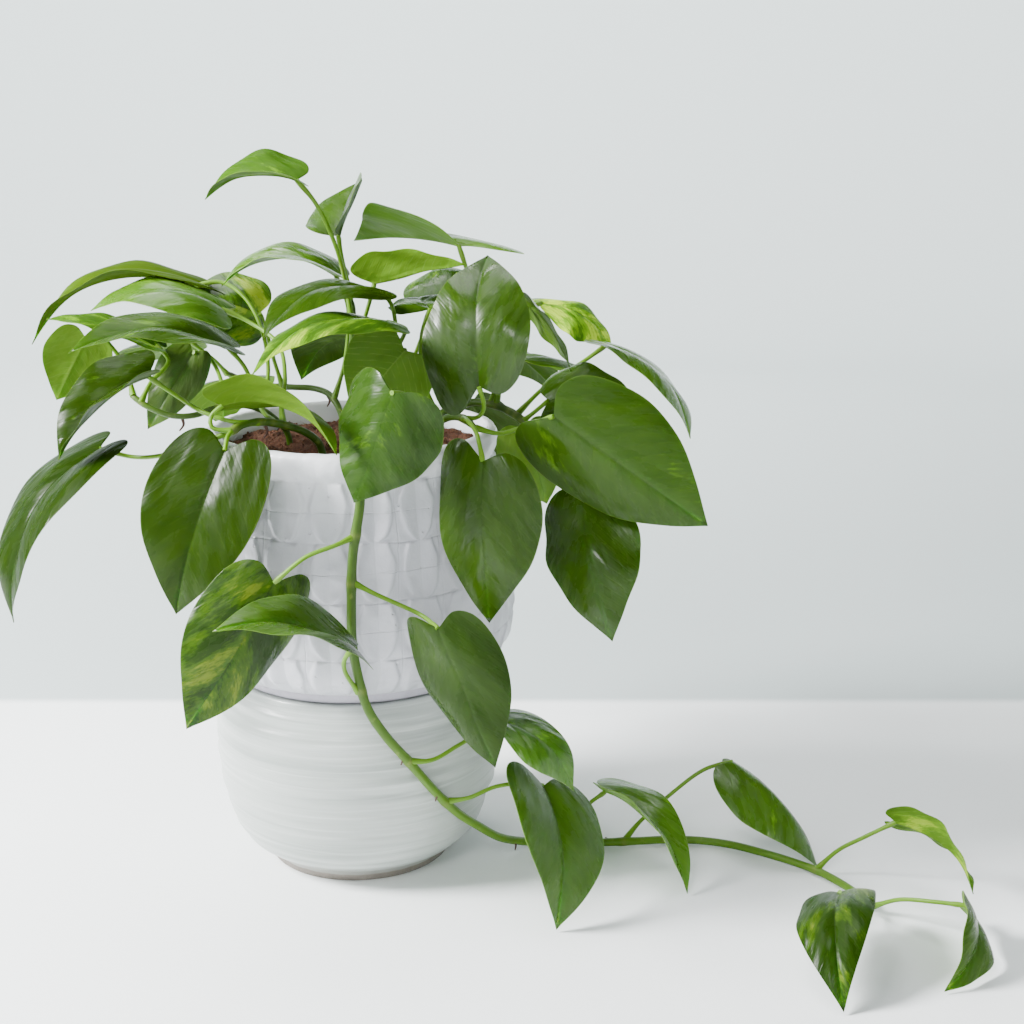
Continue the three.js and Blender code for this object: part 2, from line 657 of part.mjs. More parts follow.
// A point of the blade, out from the midrib by a share of the half width, and
// offset from the middle of its thickness.
function bladePoint(leaf, straightShare, out, offset) {
  const share = straightShare - leaf.skew * out * (1 - straightShare);
  const { point, across, up } = midribFrame(leaf, share);
  const fold = THREE.MathUtils.degToRad(leaf.fold);
  const curl = THREE.MathUtils.degToRad(leaf.curl);
  const angle = fold - curl * Math.abs(out);
  const bow = leaf.width / 2 / curl;
  const side = Math.sign(out);
  const sideways = side * bow * (Math.sin(fold) - Math.sin(angle));
  const lift = bow * (Math.cos(angle) - Math.cos(fold));
  point.addScaledVector(across, sideways - side * offset * Math.sin(angle));
  return point.addScaledVector(up, lift + offset * Math.cos(angle));
}

function bladeGeometry(leaf) {
  const rows = HALF_OUTLINE.length - 1;
  const columns = 2 * BLADE_COLUMNS + 1;
  const inner = rows - 1;
  const faceSize = inner * columns + 2;
  const positions = [];
  for (const offset of [BLADE_HALF_THICKNESS, -BLADE_HALF_THICKNESS]) {
    positions.push(...bladePoint(leaf, 0, 0, offset).toArray());
    for (let row = 1; row < rows; row += 1) {
      const [edgeAlong, edgeOut] = HALF_OUTLINE[row];
      const midrib = (row / rows) ** LOBE_CROWDING;
      for (let column = -BLADE_COLUMNS; column <= BLADE_COLUMNS; column += 1) {
        const out = column / BLADE_COLUMNS;
        const share = midrib + (edgeAlong - midrib) * Math.abs(out);
        positions.push(...bladePoint(leaf, share, out * edgeOut, offset).toArray());
      }
    }
    positions.push(...bladePoint(leaf, 1, 0, offset).toArray());
  }
  const at = (row, column) => {
    if (row === 0) return 0;
    if (row === rows) return faceSize - 1;
    return 1 + (row - 1) * columns + column;
  };
  const index = [];
  const addTriangle = (a, b, c) => {
    if (a === b || b === c || a === c) return;
    index.push(a, b, c, faceSize + a, faceSize + c, faceSize + b);
  };
  for (let row = 0; row < rows; row += 1) {
    for (let column = 0; column < columns - 1; column += 1) {
      const [a, b] = [at(row, column), at(row, column + 1)];
      const [c, d] = [at(row + 1, column), at(row + 1, column + 1)];
      if (column < BLADE_COLUMNS) {
        addTriangle(a, b, d);
        addTriangle(a, d, c);
      } else {
        addTriangle(a, b, c);
        addTriangle(b, d, c);
      }
    }
    const [left, leftNext] = [at(row, 0), at(row + 1, 0)];
    const [right, rightNext] = [at(row, columns - 1), at(row + 1, columns - 1)];
    index.push(left, faceSize + leftNext, faceSize + left);
    index.push(left, leftNext, faceSize + leftNext);
    index.push(right, faceSize + right, faceSize + rightNext);
    index.push(right, faceSize + rightNext, rightNext);
  }
  const geometry = new THREE.BufferGeometry();
  geometry.setAttribute("position", new THREE.Float32BufferAttribute(positions, 3));
  geometry.setIndex(index);
  return geometry;
}

// ---- The plant ----
function addMesh(group, name, geometry, finish) {
  geometry.computeVertexNormals();
  const mesh = new THREE.Mesh(geometry, new THREE.MeshStandardMaterial(finish));
  mesh.name = name;
  group.add(mesh);
}

const plant = new THREE.Group();
addMesh(plant, "glazed_base_pot", basePot(), GLAZE);
addMesh(plant, "embossed_pot", embossedPot(), CERAMIC);
addMesh(plant, "soil", soil(), SOIL);
for (const vine of VINES) {
  const sprig = new THREE.Group();
  addMesh(sprig, vine.name, vineGeometry(vine), STEM);
  vine.leaves.forEach((leaf, i) => {
    const name = vine.name.replace("_vine", "_leaf_") + (i + 1);
    addMesh(sprig, name, bladeGeometry(leaf), TONES[leaf.tone]);
  });
  plant.add(sprig);
}

export default plant;
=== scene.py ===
"""A potted pothos: finer pots, soil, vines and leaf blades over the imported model.

Metres, +Z up, the front towards -Y. Each leaf keeps the rule of its solid, and each
vine its points, so that every piece stays where its node is.
"""
import math
import random
from collections import namedtuple

import bpy
import numpy as np
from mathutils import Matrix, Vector, noise


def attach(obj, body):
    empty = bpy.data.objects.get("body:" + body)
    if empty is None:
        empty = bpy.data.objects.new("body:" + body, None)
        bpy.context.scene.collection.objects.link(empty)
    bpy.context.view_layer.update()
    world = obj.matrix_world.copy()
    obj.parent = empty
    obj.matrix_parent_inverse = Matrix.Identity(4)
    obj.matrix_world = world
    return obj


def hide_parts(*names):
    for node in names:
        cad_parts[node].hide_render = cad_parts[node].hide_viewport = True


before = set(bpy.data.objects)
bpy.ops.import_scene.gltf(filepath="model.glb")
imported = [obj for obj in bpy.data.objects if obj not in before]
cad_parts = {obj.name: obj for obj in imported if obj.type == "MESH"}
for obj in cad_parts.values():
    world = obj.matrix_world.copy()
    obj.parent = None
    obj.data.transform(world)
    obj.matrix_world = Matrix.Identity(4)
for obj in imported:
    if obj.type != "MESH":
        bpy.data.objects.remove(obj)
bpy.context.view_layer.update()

# ---- Driving dimensions, in metres ----
CAMERA_PLACE = (.084, -.847, .405)
CAMERA_DOWN = math.radians(14.3)
CAMERA_LENS = 58  # millimetres
CAMERA_SENSOR = 36

FLOOR_BACK = .21  # behind this line the floor is painted a tone greyer, as painted shade standing in for a wall
FLOOR_REACH = 1.7
COVE_RADIUS = .6
WALL_TOP = 1.5
FLOOR_SIDES = 96

BASE_POT_TOP = .1057
BASE_POT_OUTSIDE = [(.049, 0), (.0497, .0045), (.0505, .0058), (.057, .0095), (.065, .018), (.071, .033),
                    (.075, .052), (.076, .07), (.0745, .086), (.071, .099), (.068, BASE_POT_TOP)]
BASE_POT_INSIDE = [(.059, BASE_POT_TOP), (.064, .098), (.069, .082), (.0695, .066), (.066, .04),
                   (.058, .02), (.044, .012), (0, .01)]
BASE_POT_SIDES = 224

POT_TOP = .236
POT_FOOT = .106
POT_BAND = .112
POT_COLUMNS = 22
COLUMN_SIDES = 20
POT_TURN = math.radians(13)
ROW_PITCH = .029
TOP_GROOVE = .222
RELIEF = .0012
POT_BODY = [(.067, POT_FOOT + .005), (.0672, POT_BAND), (.0715, POT_BAND + .0006), (.0745, .115),
            (.081, .122), (.084, .135), (.084, .15), (.0815, .176), (.0775, .2), (.074, TOP_GROOVE)]
POT_LIP = [(.0755, .226), (.0762, .231), (.0755, .2345), (.0735, POT_TOP - .0003), (.071, POT_TOP),
           (.0695, .2348), (.068, .2315), (.0667, .226)]
POT_INSIDE = [(.07, .2), (.075, .165), (.076, .138), (.072, .124), (.06, .116), (0, .116)]

SOIL_LEVEL = .224
SOIL_EDGE = .0664
SOIL_MOUND = .005
SOIL_FLOOR = .1165
SOIL_RINGS = 60
SOIL_SIDES = 180

STALK_RADIUS = .0011
ROOT_RADIUS = .0008
STEM_SIDES = 14
ROOT_SIDES = 7
PATH_STEP = .0022

BLADE_HALF_THICKNESS = .0004
LOBE_CROWDING = 2.2
# Half a blade's outline: along the midrib, in blade lengths, and across, in half widths.
HALF_OUTLINE = [(0, 0), (-.09, .38), (-.05, .72), (.1, .93), (.33, 1), (.58, .82), (.8, .44), (1, 0)]
BLADE_ROWS = 44
BLADE_COLUMNS = 14  # on each side of the midrib
VEINS = 11  # lateral veins a blade's length
VEIN_SLANT = .42  # how far a vein runs towards the tip, in lengths, from midrib to edge
VEIN_BEND = 1.25
PUFF = .00004  # how far the blade rises between two veins
SWELL = .00035

# ---- Vines and leaves ----
# A leaf has its tone and its look (how yellow it is, how far its colour is brightened or darkened
# as painted light and shade, and how strongly it shines), the point where its blade starts, its tip,
# the way that its upper side faces, its width, how far its midrib arches in lengths, how far its
# halves fold up and curl down again in degrees, how far one half is set back in lengths, and its
# stalk's points.
Leaf = namedtuple("Leaf", "tone look base tip face width arch fold curl skew stalk")
Vine = namedtuple("Vine", "radius stems roots leaves")

VINES = {
    "trailing_vine": Vine(.0023, stems=[
        [(.01, -.03, .205), (.01, -.03, .232), (.011, -.044, .243), (.012, -.062, .246), (.012, -.077, .243),
         (.012, -.086, .232), (.012, -.089, .216), (.01, -.09, .203), (.008, -.09, .19), (.007, -.091, .17),
         (.007, -.091, .146), (.009, -.09, .131), (.013, -.088, .113), (.021, -.084, .097),
         (.032, -.077, .08), (.044, -.067, .06), (.055, -.056, .043), (.066, -.043, .029),
         (.078, -.028, .015), (.091, -.016, .007), (.106, -.01, .003), (.125, -.009, .0028),
         (.15, -.007, .0028), (.17, -.005, .0028), (.188, -.006, .0028), (.204, -.011, .0028),
         (.219, -.02, .0028), (.234, -.031, .0028), (.246, -.042, .0028), (.254, -.053, .0028),
         (.261, -.066, .0029), (.267, -.084, .0034)],
    ], roots=[(.006, -.091, .174), (.028, -.079, .085), (.044, -.067, .06), (.084, -.022, .011),
            (.136, -.008, .003)], leaves=[
        Leaf("mottled", (.7, .4, 1.3), (-.0285, -.099, .1799), (-.0709, -.1122, .1112), (.32, -.94, -.13),
            .057, .1, 1, 49, -.05, [(.009, -.09, .2), (.0005, -.0963, .1973), (-.013, -.0997, .1926)]),
        Leaf("mid", (.1, 1.06, 1.7), (.0085, -.11, .1507), (-.0495, -.1478, .1717), (-.44, -.49, .75), .041,
            .27, 15, 9, -.02, [(.009, -.089, .121), (.0038, -.0977, .1346), (.0047, -.1063, .1441)]),
        Leaf("mid", (.05, .49, 1), (.0491, -.1065, .1595), (.076, -.1079, .0896), (-.45, -.83, .31), .05,
            .03, -5, 32, .04, [(.007, -.091, .178), (.018, -.091, .172), (.04, -.09, .161)]),
        Leaf("mottled", (.38, 1.61, 3.5), (.08, -.057, .093), (.115, -.0774, .064), (.42, -.6, .68), .032,
            .47, 4, 27, -.28, [(.032, -.077, .08), (.0432, -.0758, .0798), (.0565, -.0655, .0835),
            (.0718, -.0532, .0882)]),
        Leaf("mid", (.08, 1.18, 2.1), (.1, -.064, .061), (.106, -.1042, .0016), (.63, -.62, .46), .055, .28,
            18, 26, .1, [(.05, -.061, .051), (.0618, -.0622, .0535), (.0755, -.0585, .058),
            (.0892, -.0578, .0595)]),
        Leaf("mid", (.12, 2.2, 3.5), (.135, -.011, .034), (.175, -.0662, .0016), (.7, -.48, .54), .036, .29,
            29, 10, -.1, [(.112, -.01, .003), (.118, -.0107, .015), (.126, -.0113, .027)]),
        Leaf("mid", (.18, 1.36, 3.5), (.206, .003, .046), (.248, -.0372, .0016), (.42, -.06, .91), .054, .22,
            -18, 41, -.08, [(.146, -.007, .003), (.1548, -.0002, .011), (.1715, .0045, .025),
            (.1912, .0082, .039)]),
        Leaf("mottled", (.62, 1, .1), (.283, -.058, .038), (.31, -.1101, .024), (.9, -.28, .33), .03, .28,
            18, 8, -.07, [(.246, -.042, .003), (.2563, -.0457, .016), (.2687, -.0523, .027)]),
        Leaf("mottled", (.5, .35, .6), (.244, -.112, .026), (.234, -.1803, .0016), (-.33, -.64, .69), .038,
            .44, 12, 43, -.11, [(.266, -.08, .0034), (.262, -.092, .009), (.253, -.101, .015)]),
        Leaf("dark", (.1, 1.46, .6), (.305, -.114, .02), (.284, -.1624, .0016), (.82, -.43, .39), .033, .41,
            19, 36, -.17, [(.267, -.084, .0036), (.2777, -.096, .0137), (.2913, -.107, .0183)]),
    ]),
    "left_front_vine": Vine(.0019, stems=[
        [(-.012, -.036, .205), (-.012, -.036, .232), (-.018, -.041, .24), (-.028, -.046, .245),
         (-.038, -.052, .248), (-.047, -.06, .248), (-.053, -.066, .245)],
    ], roots=[(-.037, -.052, .246)], leaves=[
        Leaf("dark", (0, .48, .6), (-.0534, -.0745, .2385), (-.0783, -.0866, .1602), (-.27, -.91, .31), .062,
            .17, 9, 12, -.03, [(-.051, -.064, .246), (-.0527, -.0698, .2442)]),
        Leaf("lime", (.1, .67, .2), (-.056, -.062, .258), (.003, -.1013, .242), (.21, .46, .86), .041, .32,
            24, 17, -.06, [(-.052, -.065, .246), (-.0607, -.066, .248), (-.0613, -.064, .253)]),
        Leaf("mid", (.05, .3, .6), (-.12, -.049, .234), (-.1609, -.0745, .152), (-.68, -.52, .52), .049, .37,
            12, 25, 0, [(-.05, -.063, .246), (-.0658, -.0628, .24), (-.0875, -.0555, .232),
            (-.1052, -.0452, .229)]),
        Leaf("dark", (.25, .49, .8), (-.095, -.044, .269), (-.1356, -.0662, .232), (-.45, -.39, .8), .045,
            .21, 36, 17, .07, [(-.04, -.054, .248), (-.0512, -.0608, .2498), (-.0655, -.0575, .2535),
            (-.0838, -.0412, .2602)]),
        Leaf("mid", (.22, .73, .6), (-.059, -.024, .281), (-.1294, -.059, .283), (-.01, -.27, .96), .043,
            .28, 19, 30, .05, [(-.033, -.049, .247), (-.0398, -.0398, .2508), (-.0445, -.0325, .2595),
            (-.0502, -.0272, .2712)]),
        Leaf("mid", (.12, 1.66, 3.3), (-.068, .015, .295), (-.134, .006, .295), (-.05, -.3, .95), .044, .38,
            10, 40, 0, [(-.029, -.046, .246), (-.031, -.036, .252), (-.031, -.02, .264), (-.037, 0, .279),
            (-.055, .014, .289)]),
    ]),
    "left_back_vine": Vine(.0016, stems=[
        [(-.032, -.008, .205), (-.032, -.008, .232), (-.037, -.013, .241), (-.045, -.018, .248),
         (-.055, -.023, .251), (-.066, -.027, .25), (-.076, -.03, .247), (-.087, -.031, .247),
         (-.099, -.029, .251), (-.109, -.025, .257)],
    ], roots=[(-.082, -.03, .245)], leaves=[
        Leaf("lime", (.15, .42, .1), (-.0863, .039, .3041), (-.1715, .026, .2745), (0, -.02, 1), .044, .42,
            28, 34, -.07, [(-.044, -.018, .247), (-.043, .004, .264), (-.049, .024, .284),
            (-.059, .034, .299), (-.072, .04, .306)]),
        Leaf("lime", (.1, .99, .9), (-.13, -.022, .285), (-.146, -.026, .254), (-.1, .95, .25), .034, .12, 8,
            30, 0, [(-.107, -.026, .256), (-.114, -.012, .27), (-.127, -.012, .286)]),
        Leaf("mottled", (.45, 1.2, .1), (-.097, -.012, .28), (-.15, -.019, .294), (0, -.2, 1), .028, .15, 12,
            20, 0, [(-.103, -.028, .253), (-.099, -.022, .262), (-.091, -.014, .272)]),
        Leaf("lime", (.3, .47, 3.5), (-.08, -.004, .275), (-.103, -.016, .237), (.2, -.95, .2), .026, .15, 8,
            30, 0, [(-.062, -.026, .25), (-.065, -.01, .26), (-.073, .004, .27)]),
    ]),
    "back_left_vine": Vine(.0017, stems=[
        [(-.006, .018, .205), (-.006, .018, .232), (-.009, .026, .24), (-.015, .035, .246),
         (-.024, .042, .248), (-.036, .046, .248), (-.05, .051, .248), (-.064, .056, .25),
         (-.076, .06, .254)],
    ], roots=[(-.016, .036, .245)], leaves=[
        Leaf("mottled", (.78, .78, 3.5), (-.0529, .048, .2882), (-.0952, .046, .2963), (0, -.7, .7), .05, .2,
            8, 30, 0, [(-.042, .048, .248), (-.0473, .051, .2647), (-.0506, .051, .2795)]),
        Leaf("dark", (.05, 2.2, 3.5), (-.01, .034, .311), (-.07, .03, .305), (0, -.1, 1), .042, .4, 20, 20,
            0, [(-.012, .031, .244), (-.006, .036, .265), (-.004, .037, .293)]),
        Leaf("mid", (.2, 1, 1), (-.092, .052, .272), (-.142, .046, .246), (-.5, .3, .8), .05, .3, 10, 35, 0,
            [(-.074, .059, .253), (-.079, .056, .26)]),
        Leaf("dark", (.1, 1.35, .2), (-.073, .082, .246), (-.09, .128, .208), (-.3, .6, .7), .052, .3, 10,
            35, 0, [(-.066, .057, .251), (-.07, .068, .249)]),
    ]),
    "upright_vine": Vine(.0019, stems=[
        [(.002, .01, .205), (.002, .01, .24), (.001, .01, .27), (.001, .01, .3)],
        [(.002, .01, .233), (.008, 0, .237), (.014, -.009, .243), (.019, -.013, .26), (.024, -.016, .28)],
    ], roots=[(.001, .01, .29)], leaves=[
        Leaf("mottled", (.48, 1.08, .1), (-.024, -.005, .362), (-.0713, .0006, .352), (-.5, -.13, .86), .046,
            .31, 19, 5, -.07, [(.001, .009, .288), (-.0012, .008, .3048), (-.0044, .004, .3226),
            (-.0096, .001, .3384), (-.0158, -.001, .3512)]),
        Leaf("mid", (.1, .78, .2), (-.006, .016, .333), (.002, .072, .358), (-.59, .18, .79), .054, 0, 38,
            31, .34, [(.001, .01, .294), (-.0007, .014, .3057), (-.0043, .017, .3203)]),
        Leaf("lime", (.3, 1.9, 1.1), (.013, .007, .309), (.061, -.0155, .321), (-.01, .39, .92), .04, .04,
            32, 10, .07, [(.002, .009, .276), (.006, .0053, .286), (.01, .0037, .298)]),
        Leaf("mid", (.08, .48, .2), (.014, -.017, .309), (-.038, -.044, .287), (-.15, -.15, 1), .052, .4, 10,
            35, 0, [(.024, -.016, .277), (.025, -.015, .292), (.022, -.015, .303)]),
        Leaf("mottled", (.66, .84, .1), (.023, -.044, .296), (-.039, -.076, .275), (-.15, -.15, 1), .044,
            .35, 8, 35, 0, [(.024, -.016, .276), (.03, -.024, .287), (.031, -.036, .292)]),
        Leaf("dark", (.12, 1.64, .9), (.031, -.036, .281), (.006, -.05, .251), (.1, .95, .3), .048, .12, 8,
            20, 0, [(.022, -.015, .271), (.029, -.024, .277)]),
        Leaf("mottled", (.25, .59, 1.3), (.0287, -.098, .2706), (.0099, -.0968, .2182), (-.42, -.91, -.03),
            .061, 0, -9, 34, .03, [(.014, -.009, .243), (.0242, -.028, .2429), (.0344, -.059, .2508),
            (.0345, -.084, .2667)]),
    ]),
    "right_vine": Vine(.0019, stems=[
        [(.04, -.02, .205), (.04, -.02, .232), (.046, -.027, .242), (.053, -.035, .247), (.06, -.044, .248),
         (.066, -.052, .245)],
        [(.041, -.021, .234), (.047, -.014, .244), (.06, -.013, .25), (.073, -.02, .251), (.086, -.03, .247),
         (.095, -.036, .24)],
    ], roots=[(.046, -.028, .243)], leaves=[
        Leaf("mid", (.14, .55, 2.1), (.068, -.06, .267), (.072, -.0208, .326), (-.23, -.85, .48), .054, .42,
            7, 22, -.1, [(.061, -.045, .248), (.0677, -.0503, .2503), (.0703, -.0557, .2567)]),
        Leaf("dark", (.04, .93, 1.7), (.0701, -.079, .2343), (.0731, -.0843, .155), (-.33, -.86, .38), .059,
            .14, -8, 30, .09, [(.06, -.044, .248), (.062, -.057, .25), (.067, -.071, .246)]),
        Leaf("mid", (.16, .68, 1.2), (.104, -.064, .253), (.179, -.074, .201), (-.28, -.96, .02), .067, .03,
            -1, 37, .06, [(.066, -.052, .245), (.078, -.051, .242), (.093, -.053, .247)]),
        Leaf("dark", (0, 1.13, 2), (.119, -.039, .207), (.134, -.0681, .14), (-.25, -.97, -.02), .054, .27,
            -11, 21, .1, [(.094, -.035, .241), (.1037, -.0363, .229), (.1133, -.0377, .215)]),
        Leaf("lime", (.05, 1.16, 3.2), (.09, -.014, .237), (.102, -.018, .198), (.2, -.9, .3), .036, .12, 8,
            30, 0, [(.083, -.028, .248), (.087, -.02, .245)]),
        Leaf("dark", (.12, 2.2, 3.5), (.133, -.004, .279), (.173, -.04, .237), (.75, -.2, .6), .046, .3, 8,
            35, 0, [(.086, -.03, .247), (.101, -.02, .26), (.12, -.006, .27)]),
        Leaf("mid", (.1, .75, .4), (.102, -.038, .256), (.145, -.042, .257), (0, -.6, .8), .044, .35, 8, 35,
            0, [(.09, -.033, .245), (.095, -.033, .249)]),
        Leaf("mottled", (.8, 1.59, .1), (.0993, .024, .2969), (.137, .0157, .2724), (.2, -.33, .93), .039,
            .36, 0, 30, -.34, [(.076, -.022, .251), (.079, -.022, .268), (.082, -.01, .284),
            (.091, .01, .294)]),
        Leaf("mid", (.12, 1.05, 1.4), (.092, -.024, .302), (.113, -.046, .272), (.8, .3, .5), .03, .15, 8,
            30, 0, [(.073, -.02, .251), (.08, -.02, .27), (.088, -.022, .291)]),
        Leaf("mid", (.06, 2.2, 3.5), (.056, .026, .327), (-.0015, .052, .327), (-.45, .5, .74), .054, .09,
            31, 17, .5, [(.06, -.013, .25), (.0637, -.0013, .2783), (.0623, .0193, .3067)]),
        Leaf("mid", (.1, 1, 1), (.042, -.002, .297), (.034, .022, .3), (0, -.15, 1), .04, .15, 6, 25, 0,
            [(.046, -.015, .243), (.038, -.01, .264), (.038, -.008, .285)]),
    ]),
    "back_vine": Vine(.0019, stems=[
        [(.014, .038, .205), (.014, .038, .232), (.018, .048, .242), (.024, .06, .248), (.028, .074, .25),
         (.03, .088, .246), (.03, .099, .236), (.028, .106, .224)],
    ], roots=[(.029, .08, .248)], leaves=[
        Leaf("dark", (.2, 1, 1), (.024, .11, .212), (.014, .118, .138), (0, 1, .2), .056, .15, 8, 30, 0,
            [(.028, .104, .228), (.026, .108, .22)]),
        Leaf("mid", (.1, .94, .2), (.066, .084, .262), (.112, .108, .23), (.4, .5, .75), .054, .3, 10, 35, 0,
            [(.028, .074, .25), (.042, .078, .258), (.057, .082, .263)]),
        Leaf("mid", (.3, .38, .1), (-.004, .092, .27), (-.042, .128, .238), (-.3, .6, .7), .054, .3, 10, 35,
            0, [(.027, .07, .25), (.018, .08, .262), (.005, .088, .269)]),
        Leaf("mottled", (.5, .75, 1.3), (.04, .057, .292), (.072, .096, .3), (.2, -.2, .95), .05, .3, 10, 35,
            0, [(.024, .06, .248), (.032, .057, .268), (.038, .055, .284)]),
        Leaf("dark", (.05, 2.2, .1), (.09, .038, .266), (.14, .054, .234), (.4, .2, .9), .056, .3, 10, 35, 0,
            [(.023, .058, .248), (.044, .05, .258), (.073, .041, .264)]),
        Leaf("mid", (.2, .49, .3), (.06, .104, .228), (.088, .126, .16), (.4, .9, .2), .054, .2, 8, 30, 0,
            [(.03, .088, .246), (.04, .096, .245), (.053, .102, .238)]),
    ]),
}

GREENS = {  # two greens of the upper side
    "dark": ((.018, .046, .002), (.03, .068, .003)),
    "mid": ((.024, .062, .003), (.04, .094, .004)),
    "lime": ((.07, .15, .003), (.105, .21, .005)),
    "mottled": ((.022, .062, .004), (.04, .102, .005)),
}
LIME = (.095, .215, .005)
YELLOW = (.29, .41, .02)
LEAF_ROUGHNESS = {"dark": .16, "mid": .18, "lime": .4, "mottled": .18}
LEAF_SHINE = .13  # the specular level where a look says 1


# ---- Short calls that make nodes ----
class Value:
    """What a node gives. Arithmetic with it adds Math nodes to its tree."""

    def __init__(self, tree, socket):
        self.tree = tree
        self.socket = socket

    def __add__(self, other):
        return self.tree.math("ADD", self, other)

    def __sub__(self, other):
        return self.tree.math("SUBTRACT", self, other)

    def __rsub__(self, other):
        return self.tree.math("SUBTRACT", other, self)

    def __mul__(self, other):
        return self.tree.math("MULTIPLY", self, other)

    def __truediv__(self, other):
        return self.tree.math("DIVIDE", self, other)

    def __pow__(self, other):
        return self.tree.math("POWER", self, other)

    def __abs__(self):
        return self.tree.math("ABSOLUTE", self)


class Tree:
    """Adds nodes to a shader or geometry tree, and gives back their values."""

    def __init__(self, tree):
        self.tree = tree

    def node(self, kind, inputs=(), **settings):
        made = self.tree.nodes.new(kind)
        for name, value in settings.items():
            setattr(made, name, value)
        for key, value in dict(inputs).items():
            self.set(made.inputs[key], value)
        return made

    def set(self, socket, value):
        if isinstance(value, Value):
            self.tree.links.new(value.socket, socket)
        else:
            socket.default_value = (*value, 1) if socket.type == "RGBA" else value

    def get(self, kind, inputs=(), output=0, **settings):
        """One output of a new node."""
        return Value(self, self.node(kind, inputs, **settings).outputs[output])

    def math(self, operation, *values):
        return self.get("ShaderNodeMath", enumerate(values), operation=operation)

    def ramp(self, value, start, end, low=0.0, high=1.0):
        """Goes smoothly from low, where value is start, to high, where it is end."""
        inputs = {0: value, 1: start, 2: end, 3: low, 4: high}
        return self.get("ShaderNodeMapRange", inputs, interpolation_type="SMOOTHSTEP", clamp=True)

    def line(self, value, at, half_width):
        """1 where value is at, and 0 from half_width away on."""
        return self.ramp(abs(value - at), 0, half_width, 1, 0)

    def split(self, vector):
        made = self.node("ShaderNodeSeparateXYZ", {0: vector})
        return [Value(self, socket) for socket in made.outputs]

    def noise(self, vector, scale, detail=2.0, roughness=.5):
        inputs = {"Vector": vector, "Scale": scale, "Detail": detail, "Roughness": roughness}
        return self.get("ShaderNodeTexNoise", inputs)

    def streaks(self, x, y, z, detail=2.0, roughness=.5):
        """Noise at a place of its own, stretched by the scales of x, y and z."""
        return self.noise(self.get("ShaderNodeCombineXYZ", {0: x, 1: y, 2: z}), 1, detail, roughness)

    def mix(self, share, low, high):
        """A colour between low and high."""
        return self.get("ShaderNodeMix", {0: share, 6: low, 7: high}, 2, data_type="RGBA")

    def reading(self, name):
        """What an attribute of the mesh says."""
        return self.get("ShaderNodeAttribute", output="Fac", attribute_name=name)


def new_material(name):
    """The tree of a new material, and the Object coordinates."""
    material = bpy.data.materials.new(name)
    material.use_nodes = True
    tree = Tree(material.node_tree)
    tree.material = material
    return tree, tree.get("ShaderNodeTexCoord", output="Object")


def finish_material(tree, looks, height=None, distance=0.0, strength=1.0):
    """Sets the shader's own sockets, and bumps it by a height."""
    shader = tree.tree.nodes["Principled BSDF"]
    if height:
        bump = {"Height": height, "Distance": distance, "Strength": strength}
        looks["Normal"] = tree.get("ShaderNodeBump", bump)
    for name, value in looks.items():
        tree.set(shader.inputs[name], value)
    return tree.material


# ---- Materials ----
def embossed_ceramic():
    """Pale lavender-white satin glaze over a hand-pressed surface, with pinholes, score lines painted darker
    as painted shade, and a top band painted lighter as painted light; the foot is matt.
    """
    tree, place = new_material("embossed_ceramic")
    z = tree.split(place)[2]
    glaze = tree.mix(tree.noise(place, 38, 4), (.43, .435, .475), (.53, .53, .57))
    pits = tree.get("ShaderNodeTexVoronoi", {"Vector": place, "Scale": 130}, "Distance")
    pit = tree.ramp(pits, .055, .11, 1, 0)
    glaze = tree.mix(pit * .35, glaze, (.4, .38, .42))
    pattern, scored = oval_relief(tree, place)
    scored = scored * tree.ramp(tree.noise(place, 85), .4, .62, .15, 1)
    # The score lines are painted darker: painted shade in the grooves.
    glaze = tree.mix(scored * .45, glaze, (.3, .29, .33))
    # Lighter towards the rim: painted light on the upper band of the pot.
    glaze = tree.mix(tree.ramp(z, .195, .238), glaze, (.7, .71, .735))
    foot = tree.ramp(z, POT_BAND - .0003, POT_BAND + .0006, 1, 0)
    bare = tree.mix(tree.noise(place, 260, 5, .7), (.33, .31, .36), (.45, .43, .485))
    looks = {"Base Color": tree.mix(foot, glaze, bare), "Roughness": tree.ramp(foot, 0, 1, .36, .8),
             "Coat Weight": .35, "Coat Roughness": .16}
    grain = tree.noise(place, 420, 4, .6) * .5
    height = grain + tree.noise(place, 95, 3) - pit * 1.2
    height = height + (pattern + tree.noise(place, 48) * 3 - scored * 3.6)
    return finish_material(tree, looks, height, .00045, .8)


def base_glaze():
    """Smooth, faintly green-white glaze with fine turning lines, and an unglazed foot."""
    tree, place = new_material("base_glaze")
    x, y, z = tree.split(place)
    rings = tree.streaks(x * 7, y * 7, z * 210, 4, .55)
    glaze = tree.mix(tree.noise(place, 16, 3), (.35, .385, .36), (.44, .47, .45))
    glaze = tree.mix(tree.ramp(rings, .42, .72, 0, .7), glaze, (.26, .295, .275))
    hairlines = tree.streaks(x * 9, y * 9, z * 620, 3, .6)
    glaze = tree.mix(tree.ramp(hairlines, .5, .72, 0, .35), glaze, (.62, .65, .635))
    ragged = z + (tree.noise(place, 90, 3) - .5) * .0016
    foot = tree.ramp(ragged, .0032, .0044, 1, 0)
    clay = tree.mix(tree.noise(place, 500, 4, .7), (.16, .135, .115), (.28, .245, .21))
    # The glaze turns darker and browner towards the foot.
    darker_toward_foot = tree.ramp(ragged, .0045, .014, .6, 0)
    glaze = tree.mix(darker_toward_foot, glaze, (.25, .235, .2))
    looks = {"Base Color": tree.mix(foot, glaze, clay), "Roughness": tree.ramp(foot, 0, 1, .3, .85),
             "Coat Weight": .3, "Coat Roughness": .18}
    height = rings + tree.noise(place, 300, 3) * .1
    return finish_material(tree, looks, height, .0008, .7)


